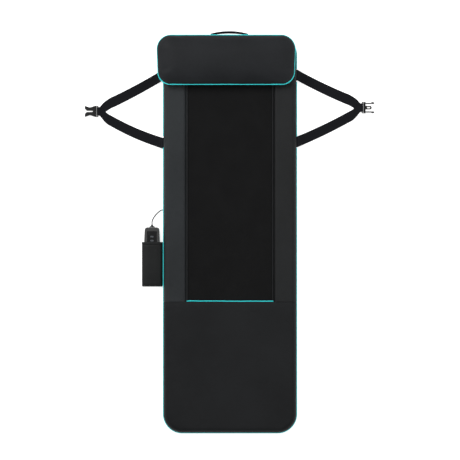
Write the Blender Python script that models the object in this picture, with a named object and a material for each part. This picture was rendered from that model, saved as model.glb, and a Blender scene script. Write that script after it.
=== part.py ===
"""A full-length heated massage mat, lying flat, with pillow, side straps, pocket and wired handset.

Metres, +Z up, +Y towards the head end, +X to the right of a person lying on it.
The origin is the centre of the mat's underside, on the floor.
"""
import math

import bmesh
import bpy

# Clearances and cloths ---------------------------------------------------------------------------
GAP = 0.0003  # between two pieces that touch
COVER = 0.0012  # faux leather with its backing
LINER = 0.0008  # foil-faced felt under the foam
HEATER = 0.0010  # carbon-fibre heating sheet
LOOM_THICK = 0.0016  # flat ribbon wiring
MESH_THICK = 0.0040  # air mesh over the back channel
WEBBING_THICK = 0.0018

# Mat ---------------------------------------------------------------------------------------------
MAT_LENGTH = 1.700
MAT_WIDTH = 0.574
MAT_THICK = 0.050
CORNER_RADIUS = 0.083
LEG_LENGTH = 0.563  # foot end to the fold
FOLD_GAP = 0.0006
SIDE_PANEL_WIDTH = 0.102
HEAD_PANEL_LENGTH = 0.190
MESH_DROP = 0.005  # mesh surface below the side panels
PIPING_RADIUS = 0.00225
SEAM_INSET = 0.003  # covers stand this far inside the piping's outer line
EDGE_ROLL = 0.022  # width of the rounded upper edge
BASE_ROLL = 0.010  # radius of the lower edge
SEAM_Z = 0.025  # centre height of the edge piping
TAPE_THICK = 0.0021  # what is sewn into the edge seam under the piping
INNER_ROLL = 0.005  # side panel's edge beside the mesh
WELT_RADIUS = 0.0022

# Massage and heat --------------------------------------------------------------------------------
MOTOR_X = 0.075
BACK_MOTOR_ROWS = (0.430, 0.060)
LEG_MOTOR_ROWS = (-0.560,)
CAN_RADIUS = 0.012
CAN_LENGTH = 0.024
POD_RADIUS = 0.0145
POD_WALL = 0.0015
POD_LENGTH = 0.014
SHAFT_RADIUS = 0.0015
WEIGHT_THICK = 0.007
WEIGHT_CLEARANCE = 0.0006
LOOM_SPINE = 0.020
LOOM_ARM = 0.012
HEATER_MARGIN = 0.020
THERMOSTAT = (0.022, 0.012, 0.005)
THERMOSTAT_Y = 0.250
INLET_Y = 0.170
INLET_RADIUS = 0.0055
INLET_FLANGE_RADIUS = 0.0075
INLET_DEPTH = 0.014
SOCKET_RADIUS = 0.00275
SOCKET_DEPTH = 0.009
PIN_RADIUS = 0.001

# Handset cord, grommet and pocket ----------------------------------------------------------------
CORD_RADIUS = 0.0024
GROMMET_Y = 0.105
GROMMET_Z = 0.0135
GROMMET_RADIUS = 0.0045
GROMMET_FLANGE_RADIUS = 0.0060
GROMMET_DEPTH = 0.009
FLANGE_THICK = 0.0012
POCKET_LENGTH = 0.191
POCKET_WIDTH = 0.0885
POCKET_MOUTH_Y = -0.032
POCKET_COVER = 0.0015
POCKET_ROLL = 0.010

HANDSET_LENGTH = 0.170
HANDSET_WIDTH = 0.061  # at its ends
HANDSET_BULGE = 0.007  # extra width at its middle
HANDSET_THICK = 0.022
HANDSET_CORNER = 0.010
HANDSET_WALL = 0.002
HANDSET_TOP_Y = 0.0308
HANDSET_ASIDE = 0.0465  # from the mat's edge to the handset's middle
POCKET_HEADROOM = 0.0026  # over the handset, which the keys pass under
KEYPAD_WIDTH = 0.0415
KEYPAD_LENGTH = 0.092
KEYPAD_TOP_GAP = 0.0168
KEYPAD_THICK = 0.0008
KEY_COUNT = 4
KEY_LENGTH = 0.0156
KEY_WIDTH = 0.0078
KEY_PITCH = 0.0172
FIRST_KEY = 0.0402  # from the handset's top end
KEY_DEPTH = 0.0052
KEY_TRAVEL = 0.0012
KEY_RISE = KEY_TRAVEL + 0.0002
BOARD_THICK = 0.0016
RELIEF_LENGTH = 0.012
RELIEF_RADIUS = 0.0058
RELIEF_TIP_RADIUS = 0.0034

# Pillow ------------------------------------------------------------------------------------------
PILLOW_WIDTH = 0.598
PILLOW_FOOT_WIDTH = 0.582
PILLOW_LENGTH = 0.214
PILLOW_THICK = 0.068
PILLOW_X = -0.0165
PILLOW_Y = 0.744
PILLOW_HEAD_CORNER = 0.062
PILLOW_FOOT_CORNER = 0.055
PILLOW_ROLL = 0.058
STRIP_THICK = 0.0012
STRIP_SIZE = (0.400, 0.038)

# Straps and buckles ------------------------------------------------------------------------------
STRAP_ROOTS_Y = (0.682, 0.396)
LEFT_APEX_Y = 0.527  # where each strap's two arms meet at its buckle
RIGHT_APEX_Y = 0.543
STRAP_REACH = 0.279  # from the mat's edge to the buckle's bar
STRAP_SQUARE_END = 0.003  # webbing runs square to the bar for this far
STRAP_TUCK = 0.002  # webbing inboard of its hinge line, under the piping
STRAP_SLANT_WIDTH = 0.0426  # webbing measured along Y where it lies aslant
BAR_RADIUS = 0.0022
BUCKLE_WIDTH = 0.049
BUCKLE_HEIGHT = 0.0114
BUCKLE_ARM = 0.0026
BUCKLE_SLOT = 0.0052  # bar's centre to the buckle's body
SOCKET_LENGTH = 0.0500
SOCKET_WAIST = 0.034
SOCKET_WALL = 0.0018
NOTCH_LENGTH = 0.024
NOTCH_WIDTH = 0.009
PLUG_BLOCK = 0.0088
PLUG_THICK = 0.0064
GUIDE_WIDTH = 0.015
GUIDE_LENGTH = 0.026
GUIDE_SLOT = (0.013, 0.006)
PRONG_LENGTH = 0.0385
PRONG_WIDTH = 0.005
PRONG_BARB = 0.0035
PRONG_ROOT_Y = 0.0185

# Carry handle ------------------------------------------------------------------------------------
HANDLE_SPAN = 0.160
HANDLE_X = -0.003
HANDLE_BOW = 0.0095
HANDLE_RADIUS = 0.004
HANDLE_Z = 0.025

CORNER_STEPS = 6  # straight stretches in each of the mat's rounded corners

# Worked-out places -------------------------------------------------------------------------------
EDGE_X = MAT_WIDTH / 2
HEAD_Y = MAT_LENGTH / 2
FOOT_Y = -MAT_LENGTH / 2
FOLD_Y = FOOT_Y + LEG_LENGTH
BACK_START_Y = FOLD_Y + FOLD_GAP / 2
LEG_END_Y = FOLD_Y - FOLD_GAP / 2
HEAD_SEAM_Y = HEAD_Y - HEAD_PANEL_LENGTH
SIDE_INNER_X = EDGE_X - SIDE_PANEL_WIDTH
PANEL_Z = SEAM_Z + PIPING_RADIUS + GAP  # lower rim of the upper covers
TAPE_Z = SEAM_Z - PIPING_RADIUS - GAP  # top of what is sewn in under the piping
RIM_Z = TAPE_Z - TAPE_THICK - GAP  # upper rim of the base covers
LINER_Z = COVER + GAP
LOOM_Z = LINER_Z + LINER + GAP
FOAM_Z = LOOM_Z + LOOM_THICK + GAP
MESH_Z = MAT_THICK - MESH_DROP - MESH_THICK
HEATER_Z = MESH_Z - GAP - HEATER
CHANNEL_Z = HEATER_Z - GAP  # foam under the mesh
FOAM_INSET = max(2 * PIPING_RADIUS, SEAM_INSET + COVER) + GAP
LEG_HEATER_Z = MAT_THICK - COVER - GAP - HEATER
LEG_FOAM_TOP = LEG_HEATER_Z - GAP
MOTOR_Z = FOAM_Z + 0.003 + POD_RADIUS
HINGE_Z = MAT_THICK + 0.0015
HANDSET_X = -EDGE_X - HANDSET_ASIDE
HANDSET_Z = GAP + POCKET_COVER + 0.0004
HANDSET_SEAM_Z = HANDSET_Z + HANDSET_THICK / 2
RELIEF_TIP_Y = HANDSET_TOP_Y + GAP + RELIEF_LENGTH
POCKET_RIGHT_X = -EDGE_X - 0.0012
POCKET_TOP_Z = HANDSET_Z + HANDSET_THICK + POCKET_HEADROOM + POCKET_COVER
STRIP_Z = MAT_THICK + GAP
PILLOW_Z = STRIP_Z + 2 * STRIP_THICK + 2 * GAP
PILLOW_SEAM_Z = PILLOW_Z + PILLOW_THICK / 2
BAR_Z = GAP + BUCKLE_HEIGHT / 2
STRAP_HINGE_X = EDGE_X + GAP + WEBBING_THICK / 2  # clear of the piping when a strap stands up
STRAP_HINGE_Z = TAPE_Z - WEBBING_THICK / 2
HANDLE_Y = HEAD_Y + HANDLE_RADIUS + 0.0005

COLOURS = {
    "leather": ((0.030, 0.032, 0.034), 0.45, 0.0),
    "mesh": ((0.009, 0.009, 0.010), 0.95, 0.0),
    "piping": ((0.090, 0.780, 0.800), 0.50, 0.0),
    "webbing": ((0.010, 0.011, 0.013), 0.90, 0.0),
    "plastic": ((0.014, 0.015, 0.016), 0.40, 0.0),
    "handset": ((0.042, 0.043, 0.045), 0.45, 0.0),
    "rubber": ((0.012, 0.012, 0.013), 0.60, 0.0),
    "foam": ((0.550, 0.540, 0.480), 0.95, 0.0),
    "foil": ((0.750, 0.750, 0.760), 0.30, 0.9),
    "carbon": ((0.030, 0.030, 0.032), 0.70, 0.0),
    "steel": ((0.500, 0.500, 0.510), 0.35, 1.0),
    "circuit": ((0.010, 0.120, 0.045), 0.50, 0.0),
}


# Outlines and profiles ---------------------------------------------------------------------------
def outline(half_width, low_y, high_y, low_radius, high_radius, inset=0.0, steps=CORNER_STEPS):
    """Corner points, anticlockwise, of a rectangle whose ends may have rounded corners."""
    x, low, high = half_width - inset, low_y + inset, high_y - inset
    corners = (
        (-x, low, low_radius, 180),
        (x, low, low_radius, 270),
        (x, high, high_radius, 0),
        (-x, high, high_radius, 90),
    )
    points = []
    for cx, cy, radius, start in corners:
        if radius == 0:
            points.append((cx, cy))
            continue
        r = max(radius - inset, 0.0005)
        ox, oy = cx - math.copysign(r, cx), cy + (r if cy == low else -r)
        for i in range(steps + 1):
            a = math.radians(start + 90 * i / steps)
            points.append((ox + r * math.cos(a), oy + r * math.sin(a)))
    return points


def back_outline(inset, fold_inset=0.0):
    """The mat from the fold to the head, shrunk by inset and, at the fold, by fold_inset."""
    return outline(EDGE_X, BACK_START_Y - inset + fold_inset, HEAD_Y, 0, CORNER_RADIUS, inset)


def leg_outline(inset, fold_inset=0.0):
    """The mat from the foot to the fold, shrunk by inset and, at the fold, by fold_inset."""
    return outline(EDGE_X, FOOT_Y, LEG_END_Y + inset - fold_inset, CORNER_RADIUS, 0, inset)


def base_profile(shrink, top_z, steps=3):
    """(inset, z) up the lower edge of the mat, from the underside to top_z."""
    centre = SEAM_INSET + BASE_ROLL
    radius = BASE_ROLL - shrink
    arc = [math.radians(90 * i / steps) for i in range(steps + 1)]
    roll = [(centre - radius * math.sin(a), BASE_ROLL - radius * math.cos(a)) for a in arc]
    return roll + [(SEAM_INSET + shrink, top_z)]


def top_profile(shrink, top_z=MAT_THICK, steps=4):
    """(inset, z) up the rounded upper edge of the mat, from the seam to top_z."""
    across, up = EDGE_ROLL - shrink, top_z - shrink - PANEL_Z
    arc = [math.radians(90 * i / steps) for i in range(steps + 1)]
    return [(SEAM_INSET + shrink + across * (1 - math.cos(a)), PANEL_Z + up * math.sin(a)) for a in arc]


# Making objects ----------------------------------------------------------------------------------
def material(name):
    found = bpy.data.materials.get(name)
    if found:
        return found
    colour, roughness, metallic = COLOURS[name]
    made = bpy.data.materials.new(name)
    made.use_nodes = True
    shader = made.node_tree.nodes["Principled BSDF"]
    shader.inputs["Base Color"].default_value = (*colour, 1.0)
    shader.inputs["Roughness"].default_value = roughness
    shader.inputs["Metallic"].default_value = metallic
    return made


def pivot(name, place, parent=None):
    """An empty on a joint's axis."""
    empty = bpy.data.objects.new(name, None)
    bpy.context.collection.objects.link(empty)
    empty["place"] = place
    if parent:
        empty.parent = parent
        place = [a - b for a, b in zip(place, parent["place"])]
    empty.location = place
    return empty


def add(name, data, finish, body=None):
    """Link an object whose points are in the mat's frame, and hang it on its joint's empty."""
    made = bpy.data.objects.new(name, data)
    bpy.context.collection.objects.link(made)
    data.materials.append(material(finish))
    if body:
        made.parent = body
        made.location = [-a for a in body["place"]]
    return made


def closed_mesh(name, bm, smooth=35):
    bmesh.ops.remove_doubles(bm, verts=bm.verts, dist=1e-6)
    bmesh.ops.recalc_face_normals(bm, faces=bm.faces)
    mesh = bpy.data.meshes.new(name)
    bm.to_mesh(mesh)
    bm.free()
    mesh.shade_smooth()
    mesh.set_sharp_from_angle(angle=math.radians(smooth))
    return mesh


def loft(name, rings, finish, body=None):
    """A closed solid through rings of (x, y, z), capped at its first and last ring."""
    bm = bmesh.new()
    rows = [[bm.verts.new(p) for p in ring] for ring in rings]
    for low, high in zip(rows, rows[1:]):
        for i in range(len(low)):
            j = (i + 1) % len(low)
            bm.faces.new((low[i], low[j], high[j], high[i]))
    bm.faces.new(reversed(rows[0]))
    bm.faces.new(rows[-1])
    return add(name, closed_mesh(name, bm), finish, body)


def layers(plan, profile, fold_inset=0.0):
    """Rings of a plan outline at each (inset, z) of a profile."""
    return [[(x, y, z) for x, y in plan(inset, fold_inset)] for inset, z in profile]


def prism(name, points, low, high, finish, body=None, axis="Z"):
    """A closed polygon drawn out from low to high along an axis."""
    place = {
        "X": lambda a, b, c: (c, a, b),
        "Y": lambda a, b, c: (a, c, b),
        "Z": lambda a, b, c: (a, b, c),
    }[axis]
    return loft(name, [[place(a, b, c) for a, b in points] for c in (low, high)], finish, body)


def box(name, low, high, finish="plastic", body=None):
    points = [(low[0], low[1]), (high[0], low[1]), (high[0], high[1]), (low[0], high[1])]
    return prism(name, points, low[2], high[2], finish, body)


def circle(radius, steps=16, centre=(0.0, 0.0), start=0.0, sweep=360.0):
    full = sweep == 360.0
    turns = [math.radians(start + sweep * i / steps) for i in range(steps if full else steps + 1)]
    return [(centre[0] + radius * math.cos(a), centre[1] + radius * math.sin(a)) for a in turns]


def turned(name, profile, centre, axis, finish, body=None, steps=14):
    """A solid of revolution: (along, radius) from one end to the other, which both lie on the axis."""
    bm = bmesh.new()
    rows = []
    for along, radius in profile:
        ring = circle(radius, steps) if radius > 0 else [(0.0, 0.0)]
        spots = [(along, a, b) if axis == "X" else (-a, along, b) for a, b in ring]
        rows.append([bm.verts.new([p + c for p, c in zip(spot, centre)]) for spot in spots])
    for low, high in zip(rows, rows[1:]):
        for i in range(steps):
            j = (i + 1) % steps
            corners = [low[i % len(low)], low[j % len(low)], high[j % len(high)], high[i % len(high)]]
            bm.faces.new(list(dict.fromkeys(corners)))
    return add(name, closed_mesh(name, bm), finish, body)


def cylinder(name, radius, centre, low, high, axis, finish="plastic", body=None, steps=14):
    profile = [(low, 0.0), (low, radius), (high, radius), (high, 0.0)]
    return turned(name, profile, centre, axis, finish, body, steps)


def cord(name, points, radius, finish, body=None, cyclic=False):
    """A round cord along the points."""
    curve = bpy.data.curves.new(name, "CURVE")
    curve.dimensions = "3D"
    curve.bevel_depth = radius
    curve.bevel_resolution = 2
    curve.use_fill_caps = not cyclic
    spline = curve.splines.new("POLY")
    spline.points.add(len(points) - 1)
    spline.use_cyclic_u = cyclic
    for spot, place in zip(spline.points, points):
        spot.co = (*place, 1.0)
    return add(name, curve, finish, body)


def combine(target, tool, operation="DIFFERENCE"):
    """Cut the tool out of the target, or join them, and hide the tool."""
    tool.hide_render = True
    tool.display_type = "WIRE"
    step = target.modifiers.new(f"{operation.lower()}_{tool.name}", "BOOLEAN")
    step.operation = operation
    step.solver = "EXACT"
    step.object = tool
    return target


def cut_box(target, name, low, high):
    combine(target, box(f"cut_{name}", low, high, "plastic", target.parent))


# Mat covers --------------------------------------------------------------------------------------
def base_cover(name, plan, body=None):
    """A shallow tray of faux leather: the underside, turned up to the edge seam."""
    outer = layers(plan, base_profile(0.0, RIM_Z))
    inner = layers(plan, reversed(base_profile(COVER, RIM_Z)), COVER)
    return loft(name, outer + inner, "leather", body)


def upper_cover(name, plan, body=None):
    """A top cover with its rounded edge, open underneath."""
    outer = layers(plan, reversed(top_profile(0.0)))
    inner = layers(plan, top_profile(COVER), COVER)
    return loft(name, outer + inner, "leather", body)


def side_panel(name, side):
    """The padded cover beside the mesh, rolled down at both edges."""
    inner_edge = SIDE_INNER_X + INNER_ROLL

    def skin(shrink):
        rolled = [(EDGE_X - inset, z) for inset, z in top_profile(shrink)]
        radius = INNER_ROLL - shrink
        turns = [math.radians(90 * i / 3) for i in range(4)]
        inside = [
            (inner_edge - radius * math.sin(a), MAT_THICK - INNER_ROLL + radius * math.cos(a)) for a in turns
        ]
        return rolled + inside + [(SIDE_INNER_X + shrink, MESH_Z)]

    section = [(side * x, z) for x, z in skin(0.0) + skin(COVER)[::-1]]
    return prism(name, section, BACK_START_Y, HEAD_SEAM_Y - GAP, "leather", None, "Y")


def head_panel():
    made = upper_cover("head_panel", back_outline)
    cut_box(made, "head_seam", (-EDGE_X, FOLD_Y - 0.01, 0.0), (EDGE_X, HEAD_SEAM_Y, MAT_THICK + 0.01))
    return made


def edge_piping(name, end_y, far_y, body=None):
    """Round piping in the edge seam, from the fold round one end of the mat and back."""
    x, r = EDGE_X - PIPING_RADIUS, CORNER_RADIUS - PIPING_RADIUS
    way = 1 if far_y > end_y else -1
    turn_y = far_y - way * CORNER_RADIUS
    turns = [math.radians(90 * i / CORNER_STEPS) for i in range(CORNER_STEPS + 1)]
    right = [(x - r + r * math.cos(a), turn_y + way * r * math.sin(a)) for a in turns]
    half = [(x, end_y)] + right
    loop = half + [(-a, b) for a, b in reversed(half)]
    return cord(name, [(a, b, SEAM_Z) for a, b in loop], PIPING_RADIUS, "piping", body)


def mesh_panel():
    width = SIDE_INNER_X - GAP
    box("mesh_panel", (-width, BACK_START_Y, MESH_Z), (width, HEAD_SEAM_Y - GAP, MESH_Z + MESH_THICK), "mesh")


def mesh_welt():
    """A covered cord sewn round three sides of the mesh."""
    x = SIDE_INNER_X - GAP - WELT_RADIUS
    z = MESH_Z + MESH_THICK + GAP + WELT_RADIUS
    corner = 0.006
    top_y = HEAD_SEAM_Y - GAP - WELT_RADIUS
    turns = [math.radians(90 * i / 3) for i in range(4)]
    right = [(x - corner + corner * math.cos(a), top_y - corner + corner * math.sin(a)) for a in turns]
    start = (x, BACK_START_Y + 2 * (PIPING_RADIUS + GAP))
    half = [start] + right
    loop = half + [(-a, b) for a, b in reversed(half)]
    cord("mesh_welt", [(a, b, z) for a, b in loop], WELT_RADIUS, "leather")


def cross_piping():
    """Piping across the foot end of the mesh, beside the fold."""
    x = SIDE_INNER_X - GAP
    y, z = BACK_START_Y + PIPING_RADIUS + GAP, MESH_Z + MESH_THICK + GAP + PIPING_RADIUS
    cord("cross_piping", [(-x, y, z), (0.0, y, z), (x, y, z)], PIPING_RADIUS, "piping")


def fold_gussets(leg):
    """Strips that close the end of each section between its covers, at the fold."""
    wide, low, high = EDGE_X - FOAM_INSET, RIM_Z + GAP, PANEL_Z - GAP
    tall, top = SIDE_INNER_X - GAP, MESH_Z - GAP
    outline_back = [(-wide, low), (wide, low), (wide, high), (tall, high), (tall, top), (-tall, top)]
    outline_back += [(-tall, high), (-wide, high)]
    prism("back_fold_gusset", outline_back, BACK_START_Y, BACK_START_Y + COVER, "leather", None, "Y")
    outline_leg = [(-wide, low), (wide, low), (wide, high), (-wide, high)]
    prism("leg_fold_gusset", outline_leg, LEG_END_Y - COVER, LEG_END_Y, "leather", leg, "Y")


# Mat filling -------------------------------------------------------------------------------------
def foam(name, plan, top_z, body=None):
    """The foam that fills a section between its covers."""
    shrink = COVER + GAP
    radius, centre = BASE_ROLL - shrink, SEAM_INSET + BASE_ROLL
    rise = [FOAM_Z + (BASE_ROLL - FOAM_Z) * i / 2 for i in range(3)]
    low = [(centre - math.sqrt(radius**2 - (BASE_ROLL - z) ** 2), z) for z in rise]
    high = [(inset, z) for inset, z in top_profile(shrink, top_z + shrink) if inset > FOAM_INSET]
    straight = [(FOAM_INSET, RIM_Z), (FOAM_INSET, PANEL_Z)]
    return loft(name, layers(plan, low + straight + high, shrink), "foam", body)


def liner(name, plan, body=None):
    low = SEAM_INSET + BASE_ROLL
    return loft(name, layers(plan, [(low, LINER_Z), (low, LINER_Z + LINER)], COVER + GAP), "foil", body)


def heating_sheet(name, half_width, low_y, high_y, z, body=None):
    points = outline(half_width, low_y, high_y, 0.01, 0.01, 0.0, 2)
    return prism(name, points, z, z + HEATER, "carbon", body)


def wiring(name, low_y, high_y, arms, body=None):
    """Flat ribbon wiring: a spine along the mat, with an arm to each side at every (y, left, right)."""
    half, reach = LOOM_SPINE / 2, LOOM_ARM / 2
    right, left = [(half, low_y)], [(-half, low_y)]
    for y, to_left, to_right in sorted(arms):
        if to_right > half:
            right += [(half, y - reach), (to_right, y - reach), (to_right, y + reach), (half, y + reach)]
        if to_left > half:
            left += [(-half, y - reach), (-to_left, y - reach), (-to_left, y + reach), (-half, y + reach)]
    points = right + [(half, high_y), (-half, high_y)] + left[::-1]
    return prism(name, points, LOOM_Z, LOOM_Z + LOOM_THICK, "rubber", body)


def motor(number, x, y, filling, body=None):
    """A motor can with a round pod on its shaft end, set in a pocket of the foam, and its weight."""
    can_start = -(CAN_LENGTH + POD_LENGTH) / 2
    pod_start = can_start + CAN_LENGTH
    end = pod_start + POD_LENGTH
    inner = POD_RADIUS - POD_WALL
    profile = [
        (can_start, 0.0),
        (can_start, CAN_RADIUS),
        (pod_start - POD_WALL, CAN_RADIUS),
        (pod_start - POD_WALL, POD_RADIUS),
        (end, POD_RADIUS),
        (end, inner),
        (pod_start, inner),
        (pod_start, SHAFT_RADIUS),
        (end - 0.002, SHAFT_RADIUS),
        (end - 0.002, 0.0),
    ]
    centre = (x, y, MOTOR_Z)
    turned(f"vibration_motor_{number}", profile, centre, "X", "steel", body)
    spin = pivot(f"weight_spin_{number}", centre, body)
    weight_start = x + pod_start + 0.0015
    rim = circle(inner - WEIGHT_CLEARANCE, 10, (y, MOTOR_Z), 180.0, 180.0)
    hub = circle(SHAFT_RADIUS + 2 * WEIGHT_CLEARANCE + 0.0012, 8, (y, MOTOR_Z), 0.0, 180.0)
    weight = prism(
        f"eccentric_weight_{number}", rim + hub, weight_start, weight_start + WEIGHT_THICK, "steel", spin, "X"
    )
    bore = cylinder(
        f"cut_weight_bore_{number}",
        SHAFT_RADIUS + WEIGHT_CLEARANCE,
        centre,
        can_start,
        end + 0.01,
        "X",
        "steel",
        spin,
    )
    combine(weight, bore)
    low = (x + can_start - GAP, y - POD_RADIUS - GAP, MOTOR_Z - POD_RADIUS - GAP)
    high = (x + end + GAP, y + POD_RADIUS + GAP, MAT_THICK + 0.01)
    cut_box(filling, f"motor_pocket_{number}", low, high)


def thermostat(filling):
    half = [size / 2 for size in THERMOSTAT[:2]]
    top = CHANNEL_Z
    low = (-half[0], THERMOSTAT_Y - half[1], top - THERMOSTAT[2])
    high = (half[0], THERMOSTAT_Y + half[1], top)
    box("thermostat", low, high, "plastic")
    cut_box(
        filling, "thermostat_pocket", [a - GAP for a in low], [high[0] + GAP, high[1] + GAP, MAT_THICK]
    )


def power_inlet(cover, filling):
    """The low-voltage socket in the left side, with its flange on the cover's outer face."""
    wall_x = -EDGE_X + SEAM_INSET
    z = RIM_Z / 2 + 0.0005
    profile = [
        (-GAP - FLANGE_THICK, SOCKET_RADIUS),
        (-GAP - FLANGE_THICK, INLET_FLANGE_RADIUS),
        (-GAP, INLET_FLANGE_RADIUS),
        (-GAP, INLET_RADIUS),
        (INLET_DEPTH, INLET_RADIUS),
        (INLET_DEPTH, 0.0),
    ]
    depth = SOCKET_DEPTH - GAP - FLANGE_THICK
    pin = [(-GAP, 0.0), (-GAP, PIN_RADIUS), (depth, PIN_RADIUS), (depth, SOCKET_RADIUS)]
    turned("power_inlet", pin + profile, (wall_x, INLET_Y, z), "X", "plastic")
    wall_hole("inlet", cover, filling, INLET_Y, z, INLET_RADIUS, INLET_DEPTH)


def cord_grommet(cover, filling):
    """The moulded grommet that the handset's cord leaves by."""
    wall_x = -EDGE_X + SEAM_INSET
    nose = -SEAM_INSET + 0.0004
    profile = [
        (nose, 0.0),
        (nose, CORD_RADIUS + 0.0012),
        (-GAP - FLANGE_THICK, GROMMET_RADIUS - 0.0008),
        (-GAP - FLANGE_THICK, GROMMET_FLANGE_RADIUS),
        (-GAP, GROMMET_FLANGE_RADIUS),
        (-GAP, GROMMET_RADIUS),
        (GROMMET_DEPTH, GROMMET_RADIUS),
        (GROMMET_DEPTH, 0.0),
    ]
    turned("cord_grommet", profile, (wall_x, GROMMET_Y, GROMMET_Z), "X", "rubber")
    wall_hole("grommet", cover, filling, GROMMET_Y, GROMMET_Z, GROMMET_RADIUS, GROMMET_DEPTH)


def wall_hole(name, cover, filling, y, z, radius, depth):
    """A round hole through the left wall and a square pocket in the foam behind it."""
    wall_x = -EDGE_X + SEAM_INSET
    hole = cylinder(f"cut_{name}_hole", radius + GAP, (wall_x, y, z), -0.004, 0.004, "X")
    combine(cover, hole)
    reach = radius + GAP
    low = (wall_x - 0.004, y - reach, z - reach)
    cut_box(filling, f"{name}_pocket", low, (wall_x + depth + GAP, y + reach, z + reach))


def build_mat():
    """The root body: everything that stays with the back section."""
    cover = base_cover("back_base_cover", back_outline)
    head_panel()
    side_panel("left_side_panel", -1)
    side_panel("right_side_panel", 1)
    mesh_panel()
    mesh_welt()
    cross_piping()
    edge_piping("back_edge_piping", BACK_START_Y, HEAD_Y)
    filling = foam("back_foam_core", back_outline, MAT_THICK - COVER - GAP)
    edge = SIDE_INNER_X + INNER_ROLL + GAP
    low = (-edge, FOLD_Y - 0.01, CHANNEL_Z)
    cut_box(filling, "mesh_channel", low, (edge, HEAD_SEAM_Y, MAT_THICK + 0.01))
    liner("back_reflective_liner", back_outline)
    heating_sheet(
        "back_heating_sheet",
        SIDE_INNER_X - HEATER_MARGIN,
        BACK_START_Y + HEATER_MARGIN,
        HEAD_SEAM_Y - HEATER_MARGIN,
        HEATER_Z,
    )
    spots = [(x, y) for y in BACK_MOTOR_ROWS for x in (-MOTOR_X, MOTOR_X)]
    for number, (x, y) in enumerate(spots, 1):
        motor(number, x, y, filling)
    thermostat(filling)
    power_inlet(cover, filling)
    cord_grommet(cover, filling)
    lead = EDGE_X - 2 * HEATER_MARGIN
    arms = [(y, MOTOR_X, MOTOR_X) for y in BACK_MOTOR_ROWS] + [(INLET_Y, lead, 0.0)]
    wiring("back_wiring_loom", BACK_START_Y + HEATER_MARGIN, max(BACK_MOTOR_ROWS) + 0.03, arms)
    half_x, half_y = STRIP_SIZE[0] / 2, STRIP_SIZE[1] / 2
    low = (PILLOW_X - half_x, PILLOW_Y - half_y, STRIP_Z)
    box("pillow_loop_strip", low, (PILLOW_X + half_x, PILLOW_Y + half_y, STRIP_Z + STRIP_THICK), "webbing")


def build_leg():
    """The leg section, which folds up and over about the seam at the fold."""
    leg = pivot("leg_fold", (0.0, FOLD_Y, HINGE_Z))
    base_cover("leg_base_cover", leg_outline, leg)
    upper_cover("foot_panel", leg_outline, leg)
    edge_piping("leg_edge_piping", LEG_END_Y, FOOT_Y, leg)
    filling = foam("leg_foam_core", leg_outline, LEG_FOAM_TOP, leg)
    edge, low_y, high_y = EDGE_X - 3 * HEATER_MARGIN, FOOT_Y + 3 * HEATER_MARGIN, LEG_END_Y - HEATER_MARGIN
    heating_sheet("leg_heating_sheet", edge, low_y, high_y, LEG_HEATER_Z, leg)
    spots = [(x, y) for y in LEG_MOTOR_ROWS for x in (-MOTOR_X, MOTOR_X)]
    for number, (x, y) in enumerate(spots, 1 + 2 * len(BACK_MOTOR_ROWS)):
        motor(number, x, y, filling, leg)
    arms = [(y, MOTOR_X, MOTOR_X) for y in LEG_MOTOR_ROWS]
    wiring("leg_wiring_loom", min(LEG_MOTOR_ROWS) - 0.03, LEG_END_Y - HEATER_MARGIN, arms, leg)
    liner("leg_reflective_liner", leg_outline, leg)
    fold_gussets(leg)


# Pillow ------------------------------------------------------------------------------------------
def pillow_outline(inset, _=0.0):
    """The pillow's plan, slightly narrower towards the mat's foot."""
    low, high = PILLOW_Y - PILLOW_LENGTH / 2, PILLOW_Y + PILLOW_LENGTH / 2
    taper = 1 - PILLOW_FOOT_WIDTH / PILLOW_WIDTH
    points = outline(PILLOW_WIDTH / 2, low, high, PILLOW_FOOT_CORNER, PILLOW_HEAD_CORNER, inset, 4)
    return [(PILLOW_X + x * (1 - taper * (high - y) / PILLOW_LENGTH), y) for x, y in points]


def pillow_profile(shrink, up, steps=5):
    """(inset, z) from the pillow's seam to its face, above (up = 1) or below (up = -1) the seam."""
    start = GAP + PIPING_RADIUS * 0.6
    across, rise = PILLOW_ROLL - shrink, PILLOW_THICK / 2 - shrink - start
    arc = [math.radians(90 * i / steps) for i in range(steps + 1)]
    first = PIPING_RADIUS * 1.9 + shrink
    return [
        (first + (across - first) * (1 - math.cos(a)), PILLOW_SEAM_Z + up * (start + rise * math.sin(a)))
        for a in arc
    ]


def build_pillow():
    """The head pillow, which lifts off its hook-and-loop strip."""
    lift = pivot("pillow_lift", (PILLOW_X, PILLOW_Y, PILLOW_Z))
    for name, up in (("pillow_top_panel", 1), ("pillow_back_panel", -1)):
        outer = layers(pillow_outline, reversed(pillow_profile(0.0, up)))
        inner = layers(pillow_outline, pillow_profile(COVER, up))
        loft(name, outer + inner, "leather", lift)
    shrink = COVER + GAP
    inside = [(i, z) for i, z in reversed(pillow_profile(shrink, -1))] + list(pillow_profile(shrink, 1))
    loft("pillow_foam", layers(pillow_outline, inside), "foam", lift)
    ring = [(x, y, PILLOW_SEAM_Z) for x, y in pillow_outline(PIPING_RADIUS)]
    cord("pillow_piping", ring, PIPING_RADIUS, "piping", lift, True)
    half_x, half_y = STRIP_SIZE[0] / 2, STRIP_SIZE[1] / 2
    z = STRIP_Z + STRIP_THICK + GAP
    low = (PILLOW_X - half_x, PILLOW_Y - half_y, z)
    high = (PILLOW_X + half_x, PILLOW_Y + half_y, z + STRIP_THICK)
    box("pillow_hook_strip", low, high, "webbing", lift)


# Straps and buckles ------------------------------------------------------------------------------
def apex_y(side):
    return RIGHT_APEX_Y if side > 0 else LEFT_APEX_Y


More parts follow.
